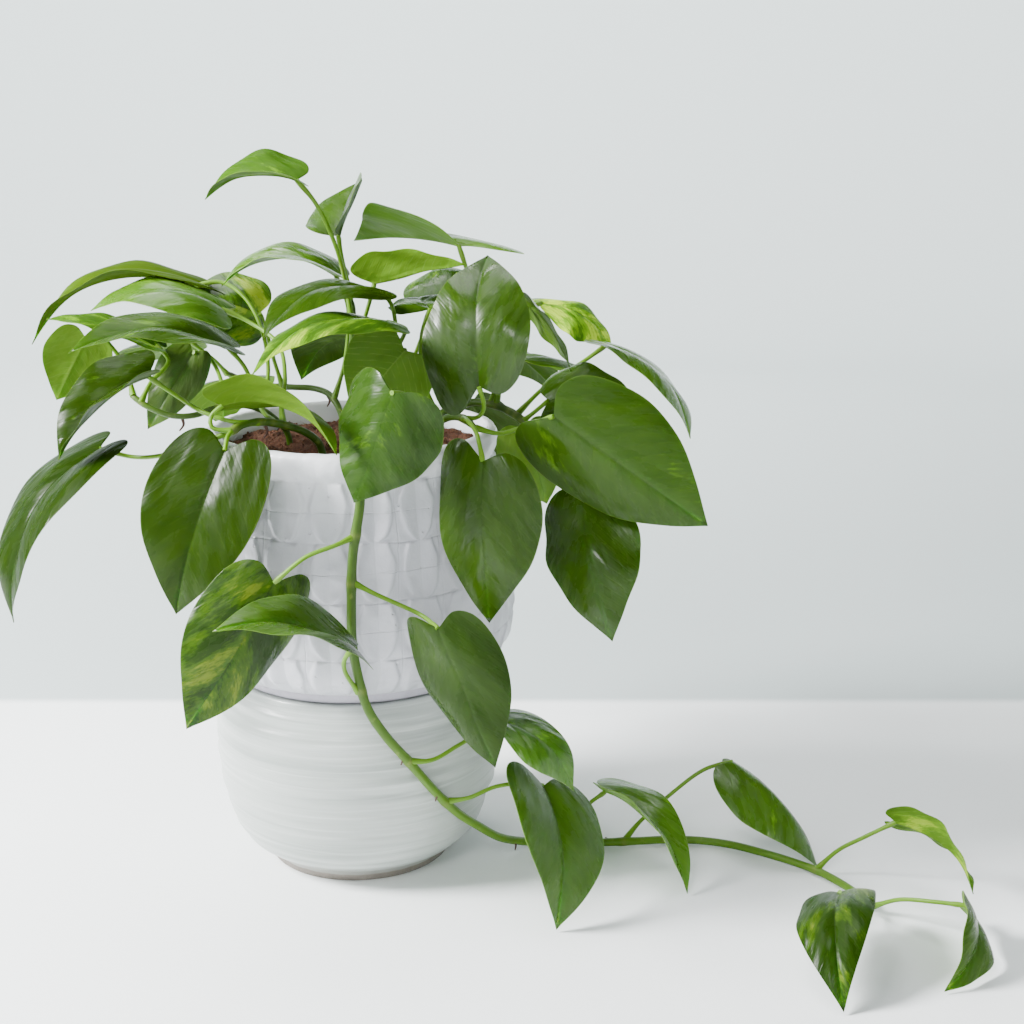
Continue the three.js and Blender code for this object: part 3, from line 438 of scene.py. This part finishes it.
def soil_colour(name, low, high):
    """Damp coco peat, reddish brown."""
    tree, place = new_material(name)
    cloud = tree.noise(place, 190, 6, .65)
    crumbs = tree.noise(place, 900, 3)
    peat = tree.mix(crumbs * .5, tree.mix(cloud, low, high), (.03, .013, .008))
    looks = {"Base Color": peat, "Roughness": .93, "Specular IOR Level": .25}
    return finish_material(tree, looks, cloud + crumbs, .0012)


def stem_skin():
    """Green stems and paler stalks, with long streaks and a scar at each joint."""
    tree, place = new_material("stem_skin")
    around, along = tree.reading("around"), tree.reading("along")
    streak = tree.streaks(around * 5, along * 70, 0, 4, .6)
    stem = tree.mix(streak, (.022, .056, .003), (.055, .115, .007))
    stalk = tree.mix(streak, (.075, .175, .004), (.12, .25, .009))
    young = tree.ramp(tree.split(place)[2], .15, .03, 0, .65)
    stem = tree.mix(young, stem, stalk)
    skin = tree.mix(tree.reading("stalk"), stem, stalk)
    blotch = tree.ramp(tree.noise(place, 160, 3), .62, .72, 0, .35)
    skin = tree.mix(blotch, skin, (.2, .25, .05))
    skin = tree.mix(tree.reading("joint") * .4, skin, (.14, .17, .03))
    looks = {"Base Color": skin, "Roughness": .42, "Specular IOR Level": .25, "Subsurface Weight": .12,
             "Subsurface Radius": (.5, 1, .2), "Subsurface Scale": .001}
    ridges = tree.streaks(around * 16, along * 48, 0)
    return finish_material(tree, looks, ridges, .00025, .6)


def root_bark():
    """Dry, dark brown aerial roots."""
    tree, place = new_material("root_bark")
    cloud = tree.noise(place, 1400, 4, .7)
    looks = {"Base Color": tree.mix(cloud, (.035, .014, .012), (.12, .055, .04)), "Roughness": .8}
    return finish_material(tree, looks, cloud, .0003)


def leaf_skin(name, leaf):
    """A glossy blade: pale veins, streaks along them, yellow flecks, a paler, duller underside with painted
    light, a painted highlight along the edge, painted shade in the midrib, and painted light and shade over
    the whole leaf.
    """
    tree, place = new_material(name + "_skin")
    mottle, light, shine = leaf.look
    u, v, _ = tree.split(tree.get("ShaderNodeUVMap", uv_map="blade"))
    signed = u * 2 - 1
    out = abs(signed)
    side = tree.math("SIGN", signed)
    seed = tree.reading("seed")
    under = tree.reading("under")

    across_veins = v - out ** VEIN_BEND * VEIN_SLANT
    vein_count = across_veins * VEINS + side * .25 + tree.streaks(v * 5, signed * 2, seed) * .7
    broken = tree.ramp(tree.streaks(v * 9, signed * 5, seed), .35, .65)
    vein = tree.line(tree.math("FRACT", vein_count), .5, .12) * broken
    fine = tree.line(tree.math("FRACT", vein_count * 3), .5, .3)
    midrib = tree.line(out, 0, .022)

    streak = tree.streaks(across_veins * 8, out * 1.8 + side, seed, 5, .55)
    skin = tree.mix(tree.ramp(streak, .12, .88), *GREENS[leaf.tone])
    patches = tree.streaks(across_veins * 3.4, out * 1.3 + side * 3, seed, 6, .55)
    flecks = tree.streaks(across_veins * 46, out * 11, seed, 3, .6)
    over = patches + (flecks - .5) * .3 - (.78 - .36 * mottle)
    shown = min(mottle / .2, 1)
    shown = shown * shown * (3 - 2 * shown)
    skin = tree.mix(tree.ramp(over, -.09, .01) * (.8 * shown), skin, LIME)
    skin = tree.mix(tree.ramp(over, .02, .12) * (.9 * shown), skin, YELLOW)
    skin = tree.mix(vein * .06, skin, (.1, .2, .01))
    # The midrib is painted darker: painted shade in its groove.
    skin = tree.mix(midrib * .3, skin, (.012, .03, .002))
    # A thin band along the edge is painted paler: a painted highlight on the margin.
    rim = tree.ramp(tree.reading("rim"), .975, .997)
    skin = tree.mix(rim * .35, skin, (.17, .27, .04))
    # The underside is paler and duller, as a real underside is, and painted lighter still: painted light
    # shining through the blade.
    dull = tree.mix(.45, skin, (.075, .15, .012))
    dull = tree.mix((vein + midrib) * .25, dull, (.16, .26, .05))
    skin = tree.mix(under, skin, dull)
    # Each leaf's colour is brightened or darkened by its own value: painted light and shade, set leaf by
    # leaf.
    skin = tree.get("ShaderNodeHueSaturation", {"Color": skin, "Value": light})

    smudge = tree.streaks(across_veins * 8, signed * 3.6, seed, 3)
    low = LEAF_ROUGHNESS[leaf.tone]
    rough = tree.ramp(smudge, .3, .7, low, low + .2) + under * .22
    looks = {"Base Color": skin, "Roughness": rough, "Specular IOR Level": LEAF_SHINE * shine,
             "Subsurface Weight": .18, "Subsurface Radius": (.45, 1, .12), "Subsurface Scale": .0012}
    swell = tree.streaks(across_veins * 4.6, signed * 2.4, seed, 2, .35)
    height = fine * -.04 + vein * -.12 + (swell * 6 + smudge * .5) + tree.noise(place, 900) * .08
    return finish_material(tree, looks, height, .0003, .8)


# ---- Meshes ----
def new_object(name, data):
    made = bpy.data.objects.new(name, data)
    bpy.context.scene.collection.objects.link(made)
    return made


def new_piece(name, points, edges, faces):
    mesh = bpy.data.meshes.new(name)
    mesh.from_pydata([tuple(p) for p in points], edges, faces)
    mesh.polygons.foreach_set("use_smooth", [True] * len(mesh.polygons))
    mesh.update()
    return new_object(name, mesh)


def give_values(mesh, name, values):
    layer = mesh.attributes.new(name, "FLOAT", "POINT")
    layer.data.foreach_set("value", np.asarray(values, np.float32))


def finish_piece(piece, node, material=None):
    """The piece stands for a node, and rides where the node does."""
    if material is not None:
        piece.data.materials.clear()
        piece.data.materials.append(material)
    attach(piece, "root")
    if node:
        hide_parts(node)


def smooth_path(points, spacing):
    """Points along the centripetal curve through the given ones, about a spacing apart."""
    given = [np.array(p, float) for p in points]
    given = [2 * given[0] - given[1]] + given + [2 * given[-1] - given[-2]]
    path = []
    for i in range(1, len(given) - 2):
        a, b, c, d = given[i - 1:i + 3]
        before, here, after = [max(np.linalg.norm(q - p), 1e-6) ** .5 for p, q in ((a, b), (b, c), (c, d))]
        leave = (b - a) / before - (c - a) / (before + here) + (c - b) / here
        arrive = (c - b) / here - (d - b) / (here + after) + (d - c) / after
        steps = max(1, round(np.linalg.norm(c - b) / spacing))
        for t in np.arange(steps) / steps:
            path.append((2 * t**3 - 3 * t**2 + 1) * b + (t**3 - 2 * t**2 + t) * here * leave
                        + (3 * t**2 - 2 * t**3) * c + (t**3 - t**2) * here * arrive)
    path.append(given[-2])
    return np.array(path)


def neighbours(sides):
    return [(i, (i + 1) % sides) for i in range(sides)]


def ring_faces(first, rings, sides):
    """The faces between one ring of points and the next, from the first point on."""
    starts = [first + ring * sides for ring in range(rings)]
    return [(low + i, low + j, high + j, high + i)
            for low, high in zip(starts, starts[1:]) for i, j in neighbours(sides)]


def turned(name, profile, sides):
    """A closed profile of (radius, height) turned about the axis. It starts and ends on it."""
    rings = [p for p in profile if p[0] > 1e-6]
    angles = 2 * math.pi * np.arange(sides) / sides
    points = [(r * math.sin(a), -r * math.cos(a), z) for r, z in rings for a in angles]
    first, last = len(points), len(points) + 1
    points += [(0, 0, profile[0][1]), (0, 0, profile[-1][1])]
    faces = ring_faces(0, len(rings), sides)
    top = (len(rings) - 1) * sides
    for i, j in neighbours(sides):
        faces += [(first, j, i), (last, top + i, top + j)]
    return new_piece(name, points, [], faces)


# ---- Geometry trees ----
def new_geometry_tree(name, sizes):
    """A geometry tree with a named input for each size, and the values of its inputs."""
    group = bpy.data.node_groups.new(name, "GeometryNodeTree")
    face = group.interface
    face.new_socket("Geometry", in_out="INPUT", socket_type="NodeSocketGeometry")
    for label, value in sizes.items():
        kind = {int: "NodeSocketInt", float: "NodeSocketFloat"}.get(type(value), "NodeSocketMaterial")
        face.new_socket(label, in_out="INPUT", socket_type=kind)
    face.new_socket("Geometry", in_out="OUTPUT", socket_type="NodeSocketGeometry")
    tree = Tree(group)
    sockets = tree.node("NodeGroupInput").outputs
    return tree, {label: Value(tree, sockets[label]) for label in ("Geometry", *sizes)}


def finish_tree(tree, geometry, material):
    real = tree.get("GeometryNodeRealizeInstances", {"Geometry": geometry})
    skinned = tree.get("GeometryNodeSetMaterial", {"Geometry": real, "Material": material})
    tree.node("NodeGroupOutput", {0: skinned})
    return tree


def grown(piece, tree, sizes):
    """The piece with the tree's result as its plain mesh."""
    modifier = piece.modifiers.new("grow", "NODES")
    modifier.node_group = tree.tree
    for item in tree.tree.interface.items_tree:
        if item.in_out == "INPUT" and item.name in sizes:
            modifier[item.identifier] = sizes[item.name]
    depsgraph = bpy.context.evaluated_depsgraph_get()
    depsgraph.update()
    mesh = bpy.data.meshes.new_from_object(piece.evaluated_get(depsgraph))
    piece.modifiers.clear()
    piece.data = mesh


def tube_tree(sizes):
    """Turns marked lines of points into closed tubes of their own thickness."""
    tree, given = new_geometry_tree("tubes", sizes)

    def stored(curve, name, share):
        value = tree.get("GeometryNodeSplineParameter", output=share)
        marked = {"Geometry": curve, "Name": name, "Value": value}
        return tree.get("GeometryNodeStoreNamedAttribute", marked, domain="POINT")

    lines = tree.get("GeometryNodeMeshToCurve", {"Mesh": given["Geometry"]})
    ring = tree.get("GeometryNodeCurvePrimitiveCircle", {"Resolution": given["Sides"], "Radius": 1.0})
    swept = {"Curve": stored(lines, "along", "Length"), "Profile Curve": stored(ring, "around", "Factor"),
             "Scale": tree.get("GeometryNodeInputNamedAttribute", {"Name": "thickness"}), "Fill Caps": True}
    tubes = tree.get("GeometryNodeSetShadeSmooth", {"Geometry": tree.get("GeometryNodeCurveToMesh", swept)})
    return finish_tree(tree, tubes, given["Skin"])


def oval_relief(tree, place):
    """How high the pressed pattern is: raised ovals with a crease down each, and score lines."""
    x, y, z = tree.split(place)
    wobble = tree.noise(place, 55) - .5
    angle = tree.math("ARCTAN2", x, y * -1)
    pitches = (angle - POT_TURN) * POT_COLUMNS / (2 * math.pi) + wobble * .16
    across = abs(pitches - tree.math("ROUND", pitches)) * 2
    down = tree.math("FRACT", (TOP_GROOVE - z) / ROW_PITCH + wobble * .1)

    round_end = tree.math("SQRT", tree.math("MAXIMUM", 1 - down ** 3.2, 0))
    edge = round_end * tree.ramp(down, 0, .4, .7, 1) * .9
    inside = tree.ramp(edge - across, -.06, .1)
    dish = tree.ramp(across / tree.math("MAXIMUM", edge, .05), 0, 1)
    crease = tree.line(across, 0, .07) * inside * .15
    row_line = tree.line(abs(down - .5), .5, .03)
    lines = row_line * .2 + (tree.line(down, .5, .016) * .16 + tree.line(across, 1, .05) * .12)
    below = tree.ramp(z, TOP_GROOVE - .001, TOP_GROOVE + .0006, 1, 0)
    shown = below * tree.ramp(z, POT_BAND + .0004, POT_BAND + .003)
    return (inside * dish - crease - lines) * shown, lines * shown


def pushed_out(tree, given, height):
    """The turned pot, moved out by a height along its normals, in its glaze."""
    normal = tree.get("GeometryNodeInputNormal")
    offset = tree.get("ShaderNodeVectorMath", {0: normal, "Scale": height}, operation="SCALE")
    body = tree.get("GeometryNodeSetPosition", {"Geometry": given["Geometry"], "Offset": offset})
    return finish_tree(tree, body, given["Glaze"])


def emboss_tree(sizes):
    """Presses rows of ovals, with a crease down each, and score lines into a turned pot."""
    tree, given = new_geometry_tree("emboss", sizes)
    place = tree.get("GeometryNodeInputPosition")
    x, y, z = tree.split(place)
    pattern, _ = oval_relief(tree, place)
    dents = (tree.noise(place, 110, 3, .6) - .5) * given["Dents"]
    outside = tree.ramp(tree.math("SQRT", x * x + y * y), .0664, .0668)
    shown = tree.ramp(z, POT_BAND, POT_BAND + .004) * outside
    lip = (tree.noise(place, 60) - .5) * .5 * tree.ramp(z, .118, .12)
    height = (pattern * given["Relief"] + dents) * shown + lip * given["Dents"]
    return pushed_out(tree, given, height)


def throwing_tree(sizes):
    """Raises the faint, slanting ridges that turning leaves round a pot."""
    tree, given = new_geometry_tree("throwing_ridges", sizes)
    x, y, z = tree.split(tree.get("GeometryNodeInputPosition"))
    level = (z + (x * .045 + y * .02)) * given["Ridges"]
    bands = tree.streaks(x * 5, y * 5, level, 3)
    shown = tree.ramp(z, .0075, .012) * tree.ramp(z, BASE_POT_TOP - .004, BASE_POT_TOP - .008)
    return pushed_out(tree, given, (bands - .5) * shown * given["Depth"])


def crumb_tree(sizes):
    """Strews crumbs and short fibres over the soil's upper side."""
    tree, given = new_geometry_tree("soil_crumbs", sizes)
    normal = tree.get("GeometryNodeInputNormal")
    facing_up = tree.math("GREATER_THAN", tree.split(normal)[2], .4)

    def between(low, high, seed):
        inputs = {0: low, 1: high, "Seed": seed}
        return tree.get("FunctionNodeRandomValue", inputs, data_type="FLOAT_VECTOR")

    def strewn(density, seed, shape, low, high):
        spots = {"Mesh": given["Geometry"], "Selection": facing_up, "Density": density, "Seed": seed}
        spots = tree.get("GeometryNodeDistributePointsOnFaces", spots)
        turn = {0: between((0, 0, 0), (6.28, 6.28, 6.28), seed + 1)}
        turn = tree.get("FunctionNodeEulerToRotation", turn)
        size = between(low, high, seed + 2)
        placed = {"Points": spots, "Instance": shape, "Rotation": turn, "Scale": size}
        return tree.get("GeometryNodeInstanceOnPoints", placed)

    crumb = tree.get("GeometryNodeMeshIcoSphere", {"Radius": given["Crumb"], "Subdivisions": 1})
    fibre = {"Vertices": 4, "Radius Top": .00003, "Radius Bottom": .00012, "Depth": given["Fibre"]}
    fibre = tree.get("GeometryNodeMeshCone", fibre)
    joined = tree.node("GeometryNodeJoinGeometry")
    for part in (strewn(given["Coarse a Metre"], 11, crumb, (.7, .7, .5), (2.2, 2, 1.5)),
                 strewn(given["Fine a Metre"], 23, crumb, (.3, .3, .25), (.8, .8, .7)),
                 strewn(given["Fibres a Metre"], 37, fibre, (.7, .7, .4), (1.3, 1.3, 1.3))):
        tree.set(joined.inputs[0], part)
    return finish_tree(tree, Value(tree, joined.outputs[0]), given["Peat"])


# ---- Pots and soil ----
def make_base_pot():
    outside = smooth_path(BASE_POT_OUTSIDE[3:], .0012)
    rim = [BASE_POT_OUTSIDE[-1], (.0655, .1058), (.062, BASE_POT_TOP), BASE_POT_INSIDE[0]]
    rim = smooth_path(rim, .0015)
    inside = smooth_path(BASE_POT_INSIDE[:-1], .005)
    profile = [(0, 0), (.03, 0), (.0478, 0), (.0487, .0003), *BASE_POT_OUTSIDE[1:3]]
    profile += [(.0508, .0062), *outside, *rim[1:-1], *inside, (0, .01)]
    pot = turned("glazed_base_pot_fine", profile, BASE_POT_SIDES)
    sizes = {"Ridges": 190.0, "Depth": .0044, "Glaze": base_glaze()}
    grown(pot, throwing_tree(sizes), sizes)
    finish_piece(pot, "glazed_base_pot")


def make_embossed_pot():
    outside = smooth_path([(.0645, POT_FOOT), (.0658, POT_FOOT + .0004), *POT_BODY], .00105)
    lip = smooth_path([POT_BODY[-1], *POT_LIP], .0011)
    inside = smooth_path([POT_LIP[-1], *POT_INSIDE[:-1]], .006)
    profile = [(0, POT_FOOT), (.03, POT_FOOT), *outside, *lip[1:], *inside[1:], (0, POT_INSIDE[-1][1])]
    pot = turned("embossed_pot_fine", profile, POT_COLUMNS * COLUMN_SIDES)
    sizes = {"Relief": RELIEF, "Dents": .0014, "Glaze": embossed_ceramic()}
    grown(pot, emboss_tree(sizes), sizes)
    finish_piece(pot, "embossed_pot")


def soil_height(x, y):
    """The soil's upper side: a low mound with lumps."""
    inwards = max(0, 1 - math.hypot(x, y) / SOIL_EDGE)
    lump = math.sin(310 * x + 1) * math.cos(270 * y) + math.sin(170 * (x + y))
    rough = noise.fractal(Vector((x * 160, y * 160, 3)), 1, 2, 4)
    return SOIL_LEVEL + SOIL_MOUND * math.sqrt(inwards) + .0011 * lump + .0016 * rough


def make_soil():
    edge = [(.0596, SOIL_FLOOR), (.0716, .124), (.0756, .138), (.0746, .165), (.0696, .2), (.0664, .2236)]
    rings = np.linspace(.0655, .0008, SOIL_RINGS)
    profile = [(0, SOIL_FLOOR), (.03, SOIL_FLOOR), *edge, *[(r, SOIL_LEVEL) for r in rings], (0, SOIL_LEVEL)]
    soil = turned("soil_fine", profile, SOIL_SIDES)
    for vertex in soil.data.vertices:
        if vertex.co.z > SOIL_LEVEL - 1e-5:
            vertex.co.z = soil_height(vertex.co.x, vertex.co.y)
    soil.data.update()
    crumbs = new_object("soil_crumbs", soil.data.copy())
    finish_piece(soil, "soil", soil_colour("peat", (.035, .013, .007), (.12, .05, .026)))
    loose = soil_colour("loose_peat", (.05, .019, .009), (.19, .082, .042))
    sizes = {"Crumb": .00055, "Fibre": .006, "Coarse a Metre": 120000.0, "Fine a Metre": 260000.0,
             "Fibres a Metre": 22000.0, "Peat": loose}
    grown(crumbs, crumb_tree(sizes), sizes)
    finish_piece(crumbs, None)


# ---- Stems, stalks and aerial roots ----
def near(path, spot, reach):
    """1 at the point of the path nearest to the spot, fading to 0 over a reach."""
    apart = np.linalg.norm(path - np.array(spot), axis=1)
    beyond = np.linalg.norm(path - path[apart.argmin()], axis=1)
    return np.exp(-(beyond / reach) ** 2)


def lines_piece(name, lines):
    """A piece of loose lines of points; each line is (path, thickness, joint, stalk)."""
    points, edges = [], []
    for path, *_ in lines:
        edges += [(len(points) + i, len(points) + i + 1) for i in range(len(path) - 1)]
        points += list(path)
    piece = new_piece(name, points, edges, [])
    for i, label in enumerate(("thickness", "joint", "stalk"), 1):
        values = [np.broadcast_to(line[i], len(line[0])) for line in lines]
        give_values(piece.data, label, np.concatenate(values))
    return piece


def stem_line(points, radius, leaves):
    path = smooth_path(points, PATH_STEP)
    share = np.linspace(0, 1, len(path))
    thickness = radius * (1.02 - .16 * share ** 3)
    joint = np.zeros(len(path))
    for leaf in leaves:
        if np.linalg.norm(path - np.array(leaf.stalk[0]), axis=1).min() < .006:
            swelling = near(path, leaf.stalk[0], .0032)
            thickness = thickness * (1 + .16 * swelling)
            joint = np.maximum(joint, near(path, leaf.stalk[0], .0014))
    thickness[-1] *= .45
    thickness[-2] *= .85
    return path, thickness, joint, 0


def stalk_line(leaf):
    path = smooth_path([*leaf.stalk, leaf.base], PATH_STEP)
    share = np.linspace(0, 1, len(path))
    clasp = 1 + .65 * np.exp(-(share / .12) ** 2)
    knee = 1 + .3 * np.exp(-((share - .94) / .05) ** 2)
    joint = .4 * np.exp(-((share - .93) / .05) ** 2)
    return path, STALK_RADIUS * clasp * knee, joint, 1


def root_line(spot):
    place = np.array(spot)
    on_floor = place[2] < .009
    out = np.array((0, .006, -.0004)) if on_floor else np.array((place[0] * .02, -.0012, -.0058))
    bend = np.array((.0012, .0006, 0))
    path = smooth_path([place, place + out * .5 + bend, place + out], .0008)
    return path, ROOT_RADIUS * np.linspace(1.1, .45, len(path)), 0, 0


def make_vines():
    sizes = {"Sides": STEM_SIDES, "Skin": stem_skin()}
    tubes = tube_tree(sizes)
    root_lines = []
    for name, vine in VINES.items():
        lines = [stem_line(points, vine.radius, vine.leaves) for points in vine.stems]
        lines += [stalk_line(leaf) for leaf in vine.leaves]
        piece = lines_piece(name + "_fine", lines)
        grown(piece, tubes, sizes)
        finish_piece(piece, name)
        root_lines += [root_line(spot) for spot in vine.roots]
    roots = lines_piece("aerial_roots", root_lines)
    grown(roots, tubes, {"Sides": ROOT_SIDES, "Skin": root_bark()})
    finish_piece(roots, None)


# ---- Leaf blades ----
def half_outline(share):
    """Where the edge is, along and across, at shares of the way from notch to tip."""
    given = np.array(HALF_OUTLINE, float)
    given = np.vstack([2 * given[0] - given[1], given, 2 * given[-1] - given[-2]])
    steps = share * (len(HALF_OUTLINE) - 1)
    i = np.minimum(steps.astype(int), len(HALF_OUTLINE) - 2)
    t = (steps - i)[:, None]
    a, b, c, d = (given[i + k] for k in range(4))
    edge = 2 * b + (c - a) * t + (2 * a - 5 * b + 4 * c - d) * t**2 + (3 * b - a - 3 * c + d) * t**3
    return .5 * edge[:, 0], np.maximum(.5 * edge[:, 1], 0)


def unit(vectors):
    return vectors / np.linalg.norm(vectors, axis=-1, keepdims=True)


def blade_points(leaf, share, out, offset):
    """Points of the blade, out from the midrib in half widths, and offset from its middle."""
    base, tip, face = (np.array(v, float) for v in (leaf.base, leaf.tip, leaf.face))
    chord = tip - base
    length = np.linalg.norm(chord)
    up = unit(face - chord * (face @ chord) / length**2)
    bulge = 2 * leaf.arch * length
    share = (share - leaf.skew * out * (1 - share))[..., None]
    out, offset = out[..., None], offset[..., None]
    point = base + chord * share + up * bulge * share * (1 - share)
    tangent = unit(chord + up * bulge * (1 - 2 * share))
    across = unit(np.cross(tangent, up))
    up = np.cross(across, tangent)
    fold, curl = math.radians(leaf.fold), math.radians(leaf.curl)
    angle = fold - curl * np.abs(out)
    bow = leaf.width / 2 / curl
    side = np.sign(out)
    sideways = side * bow * (math.sin(fold) - np.sin(angle)) - side * offset * np.sin(angle)
    return point + across * sideways + up * (bow * (np.cos(angle) - math.cos(fold)) + offset * np.cos(angle))


def blade_ripple(draw, rows, share, out, reach, side):
    """How far the blade's middle rises: puffed between veins, waved at its edge and swollen."""
    vein = share - VEIN_SLANT * np.abs(out) ** VEIN_BEND
    puff = PUFF * np.cos(2 * math.pi * (vein * VEINS + .25 * side))
    puff = puff * np.sqrt(np.clip(1 - reach, 0, 1) * reach)
    waves = draw.uniform(1.5, 3)
    phase = draw.uniform(0, 6.28) + side * draw.uniform(.5, 2)
    wave = draw.uniform(.0004, .0009) * reach ** 2 * np.sin(2 * math.pi * waves * share + phase)
    fade = np.clip((1 - rows) * 6, 0, 1)[:, None] * np.clip(rows * 8, 0, 1)[:, None]
    swell = sum(SWELL * np.sin(draw.uniform(4, 11) * share + draw.uniform(2, 5) * out + draw.uniform(0, 6))
                for _ in range(3))
    return (wave + puff + swell) * fade


def blade_faces(inner, wide, size):
    """Faces over the rows and columns of both sides, and of the rim between them."""
    def at(row, column):
        if row == 0:
            return 0
        return size - 1 if row == inner + 1 else 1 + (row - 1) * wide + column

    def kept(*corners):
        return [c for i, c in enumerate(corners) if c != corners[i - 1]]

    faces = []
    for row in range(inner + 1):
        for column in range(wide - 1):
            face = kept(at(row, column), at(row, column + 1), at(row + 1, column + 1), at(row + 1, column))
            if len(face) > 2:
                faces += [face, [size + c for c in reversed(face)]]
        for column, turn in ((0, 1), (wide - 1, -1)):
            here, beyond = at(row, column), at(row + 1, column)
            faces.append(kept(here, beyond, size + beyond, size + here)[::turn])
    return faces


def blade(name, leaf):
    """A closed blade: an upper and a lower face, with a rim between them."""
    draw = random.Random(name)
    rows = np.linspace(0, 1, BLADE_ROWS + 1)[1:-1]
    even = np.linspace(-1, 1, 2 * BLADE_COLUMNS + 1)
    columns = np.sort([*(np.sign(even) * np.abs(even) ** 1.35), -.992, .992])
    edge_along, edge_out = half_outline(rows)
    middle = rows ** LOBE_CROWDING
    reach = np.abs(columns)[None, :]
    share = middle[:, None] + (edge_along - middle)[:, None] * reach
    out = columns[None, :] * edge_out[:, None]
    apart = np.abs(out) * leaf.width / 2
    ripple = blade_ripple(draw, rows, share, out, reach, np.sign(columns)[None, :])
    groove = -.0003 * np.exp(-(apart / .0008) ** 2) - .0004 * np.exp(-(apart / .004) ** 2)
    rib = .0008 * np.exp(-(apart / .001) ** 2) * (1 - np.clip(share, 0, 1)) ** .7
    half = BLADE_HALF_THICKNESS * (.75 - .45 * reach ** 4)
    ends = np.array([0., 1.])
    points = []
    for sign, offset in ((1, ripple + half + groove), (-1, ripple - half - rib)):
        first, last = blade_points(leaf, ends, 0 * ends, sign * .6 * BLADE_HALF_THICKNESS + 0 * ends)
        points += [first, *blade_points(leaf, share, out, offset).reshape(-1, 3), last]

    def spread(first, grid, last):
        """A value at every point, of the upper and then of the lower side."""
        return np.array([first, *grid.reshape(-1), last] * 2)

    size = share.size + 2
    piece = new_piece(name + "_fine", points, [], blade_faces(len(rows), len(columns), size))
    mesh = piece.data
    place = np.stack([spread(.5, .5 + .5 * out, .5), spread(0, share, 1)], 1)
    corner = np.zeros(len(mesh.loops), int)
    mesh.loops.foreach_get("vertex_index", corner)
    mesh.uv_layers.new(name="blade").data.foreach_set("uv", place[corner].reshape(-1))
    give_values(mesh, "rim", spread(0, np.broadcast_to(reach, share.shape), 1))
    give_values(mesh, "under", np.repeat([0., 1.], size))
    give_values(mesh, "seed", np.full(2 * size, draw.uniform(0, 50)))
    return piece


def make_leaves():
    for vine_name, vine in VINES.items():
        for i, leaf in enumerate(vine.leaves, 1):
            name = vine_name.replace("_vine", f"_leaf_{i}")
            finish_piece(blade(name, leaf), name, leaf_skin(name, leaf))


# ---- Camera, light and surroundings ----
def make_camera():
    data = bpy.data.cameras.new("camera")
    data.lens = CAMERA_LENS
    data.sensor_width = CAMERA_SENSOR
    camera = new_object("camera", data)
    camera.location = CAMERA_PLACE
    camera.rotation_euler = (math.pi / 2 - CAMERA_DOWN, 0, 0)
    bpy.context.scene.camera = camera


def make_surroundings():
    """A round pale floor that curves up at its rim. Behind the plant it is painted greyer, darkest just
    behind the line and lighter farther back: painted shade standing in for an upright wall.
    """
    turns = np.linspace(0, math.pi / 2, 16)
    section = [(FLOOR_REACH + COVE_RADIUS * math.sin(t), COVE_RADIUS * (1 - math.cos(t))) for t in turns]
    section.append((FLOOR_REACH + COVE_RADIUS, WALL_TOP))
    around = 2 * math.pi * np.arange(FLOOR_SIDES) / FLOOR_SIDES
    points = [(0, 0, 0)] + [(r * math.sin(a), r * math.cos(a), z) for r, z in section for a in around]
    faces = [(0, 1 + j, 1 + i) for i, j in neighbours(FLOOR_SIDES)]
    faces += ring_faces(1, len(section), FLOOR_SIDES)
    floor = new_piece("pale_floor", points, [], faces)
    tree, place = new_material("pale_paint")
    back = tree.split(place)[1]
    # Painted shade: greyer behind the line, darkest just behind it and lighter farther back.
    far = tree.mix(tree.ramp(back, .25, 1.6), (.47, .53, .53), (.79, .86, .86))
    paint = tree.mix(tree.ramp(back, FLOOR_BACK, FLOOR_BACK + .015), (.9, .93, .93), far)
    floor.data.materials.append(finish_material(tree, {"Base Color": paint, "Roughness": .7}))


def add_light(name, place, aim, size, power):
    data = bpy.data.lights.new(name, "AREA")
    data.shape = "DISK"
    data.size = size
    data.energy = power
    light = new_object(name, data)
    light.location = place
    light.rotation_euler = (Vector(aim) - Vector(place)).to_track_quat("-Z", "Y").to_euler()


def make_light():
    world = bpy.data.worlds.new("room")
    bpy.context.scene.world = world
    world.use_nodes = True
    background = world.node_tree.nodes["Background"]
    background.inputs["Color"].default_value = (.9, .95, 1, 1)
    background.inputs["Strength"].default_value = .06
    add_light("window", (-1.15, -.3, .95), (.03, 0, .15), .5, 104)
    add_light("ceiling", (-.1, .2, 1.5), (0, 0, .2), .8, 11)
    add_light("front", (-.3, -1.4, 1.1), (.05, 0, .2), .42, 9)
    add_light("backdrop", (-.4, .9, 1.45), (-.2, 2.2, .1), .7, 30)


make_camera()
make_surroundings()
make_light()
make_base_pot()
make_embossed_pot()
make_soil()
make_vines()
make_leaves()
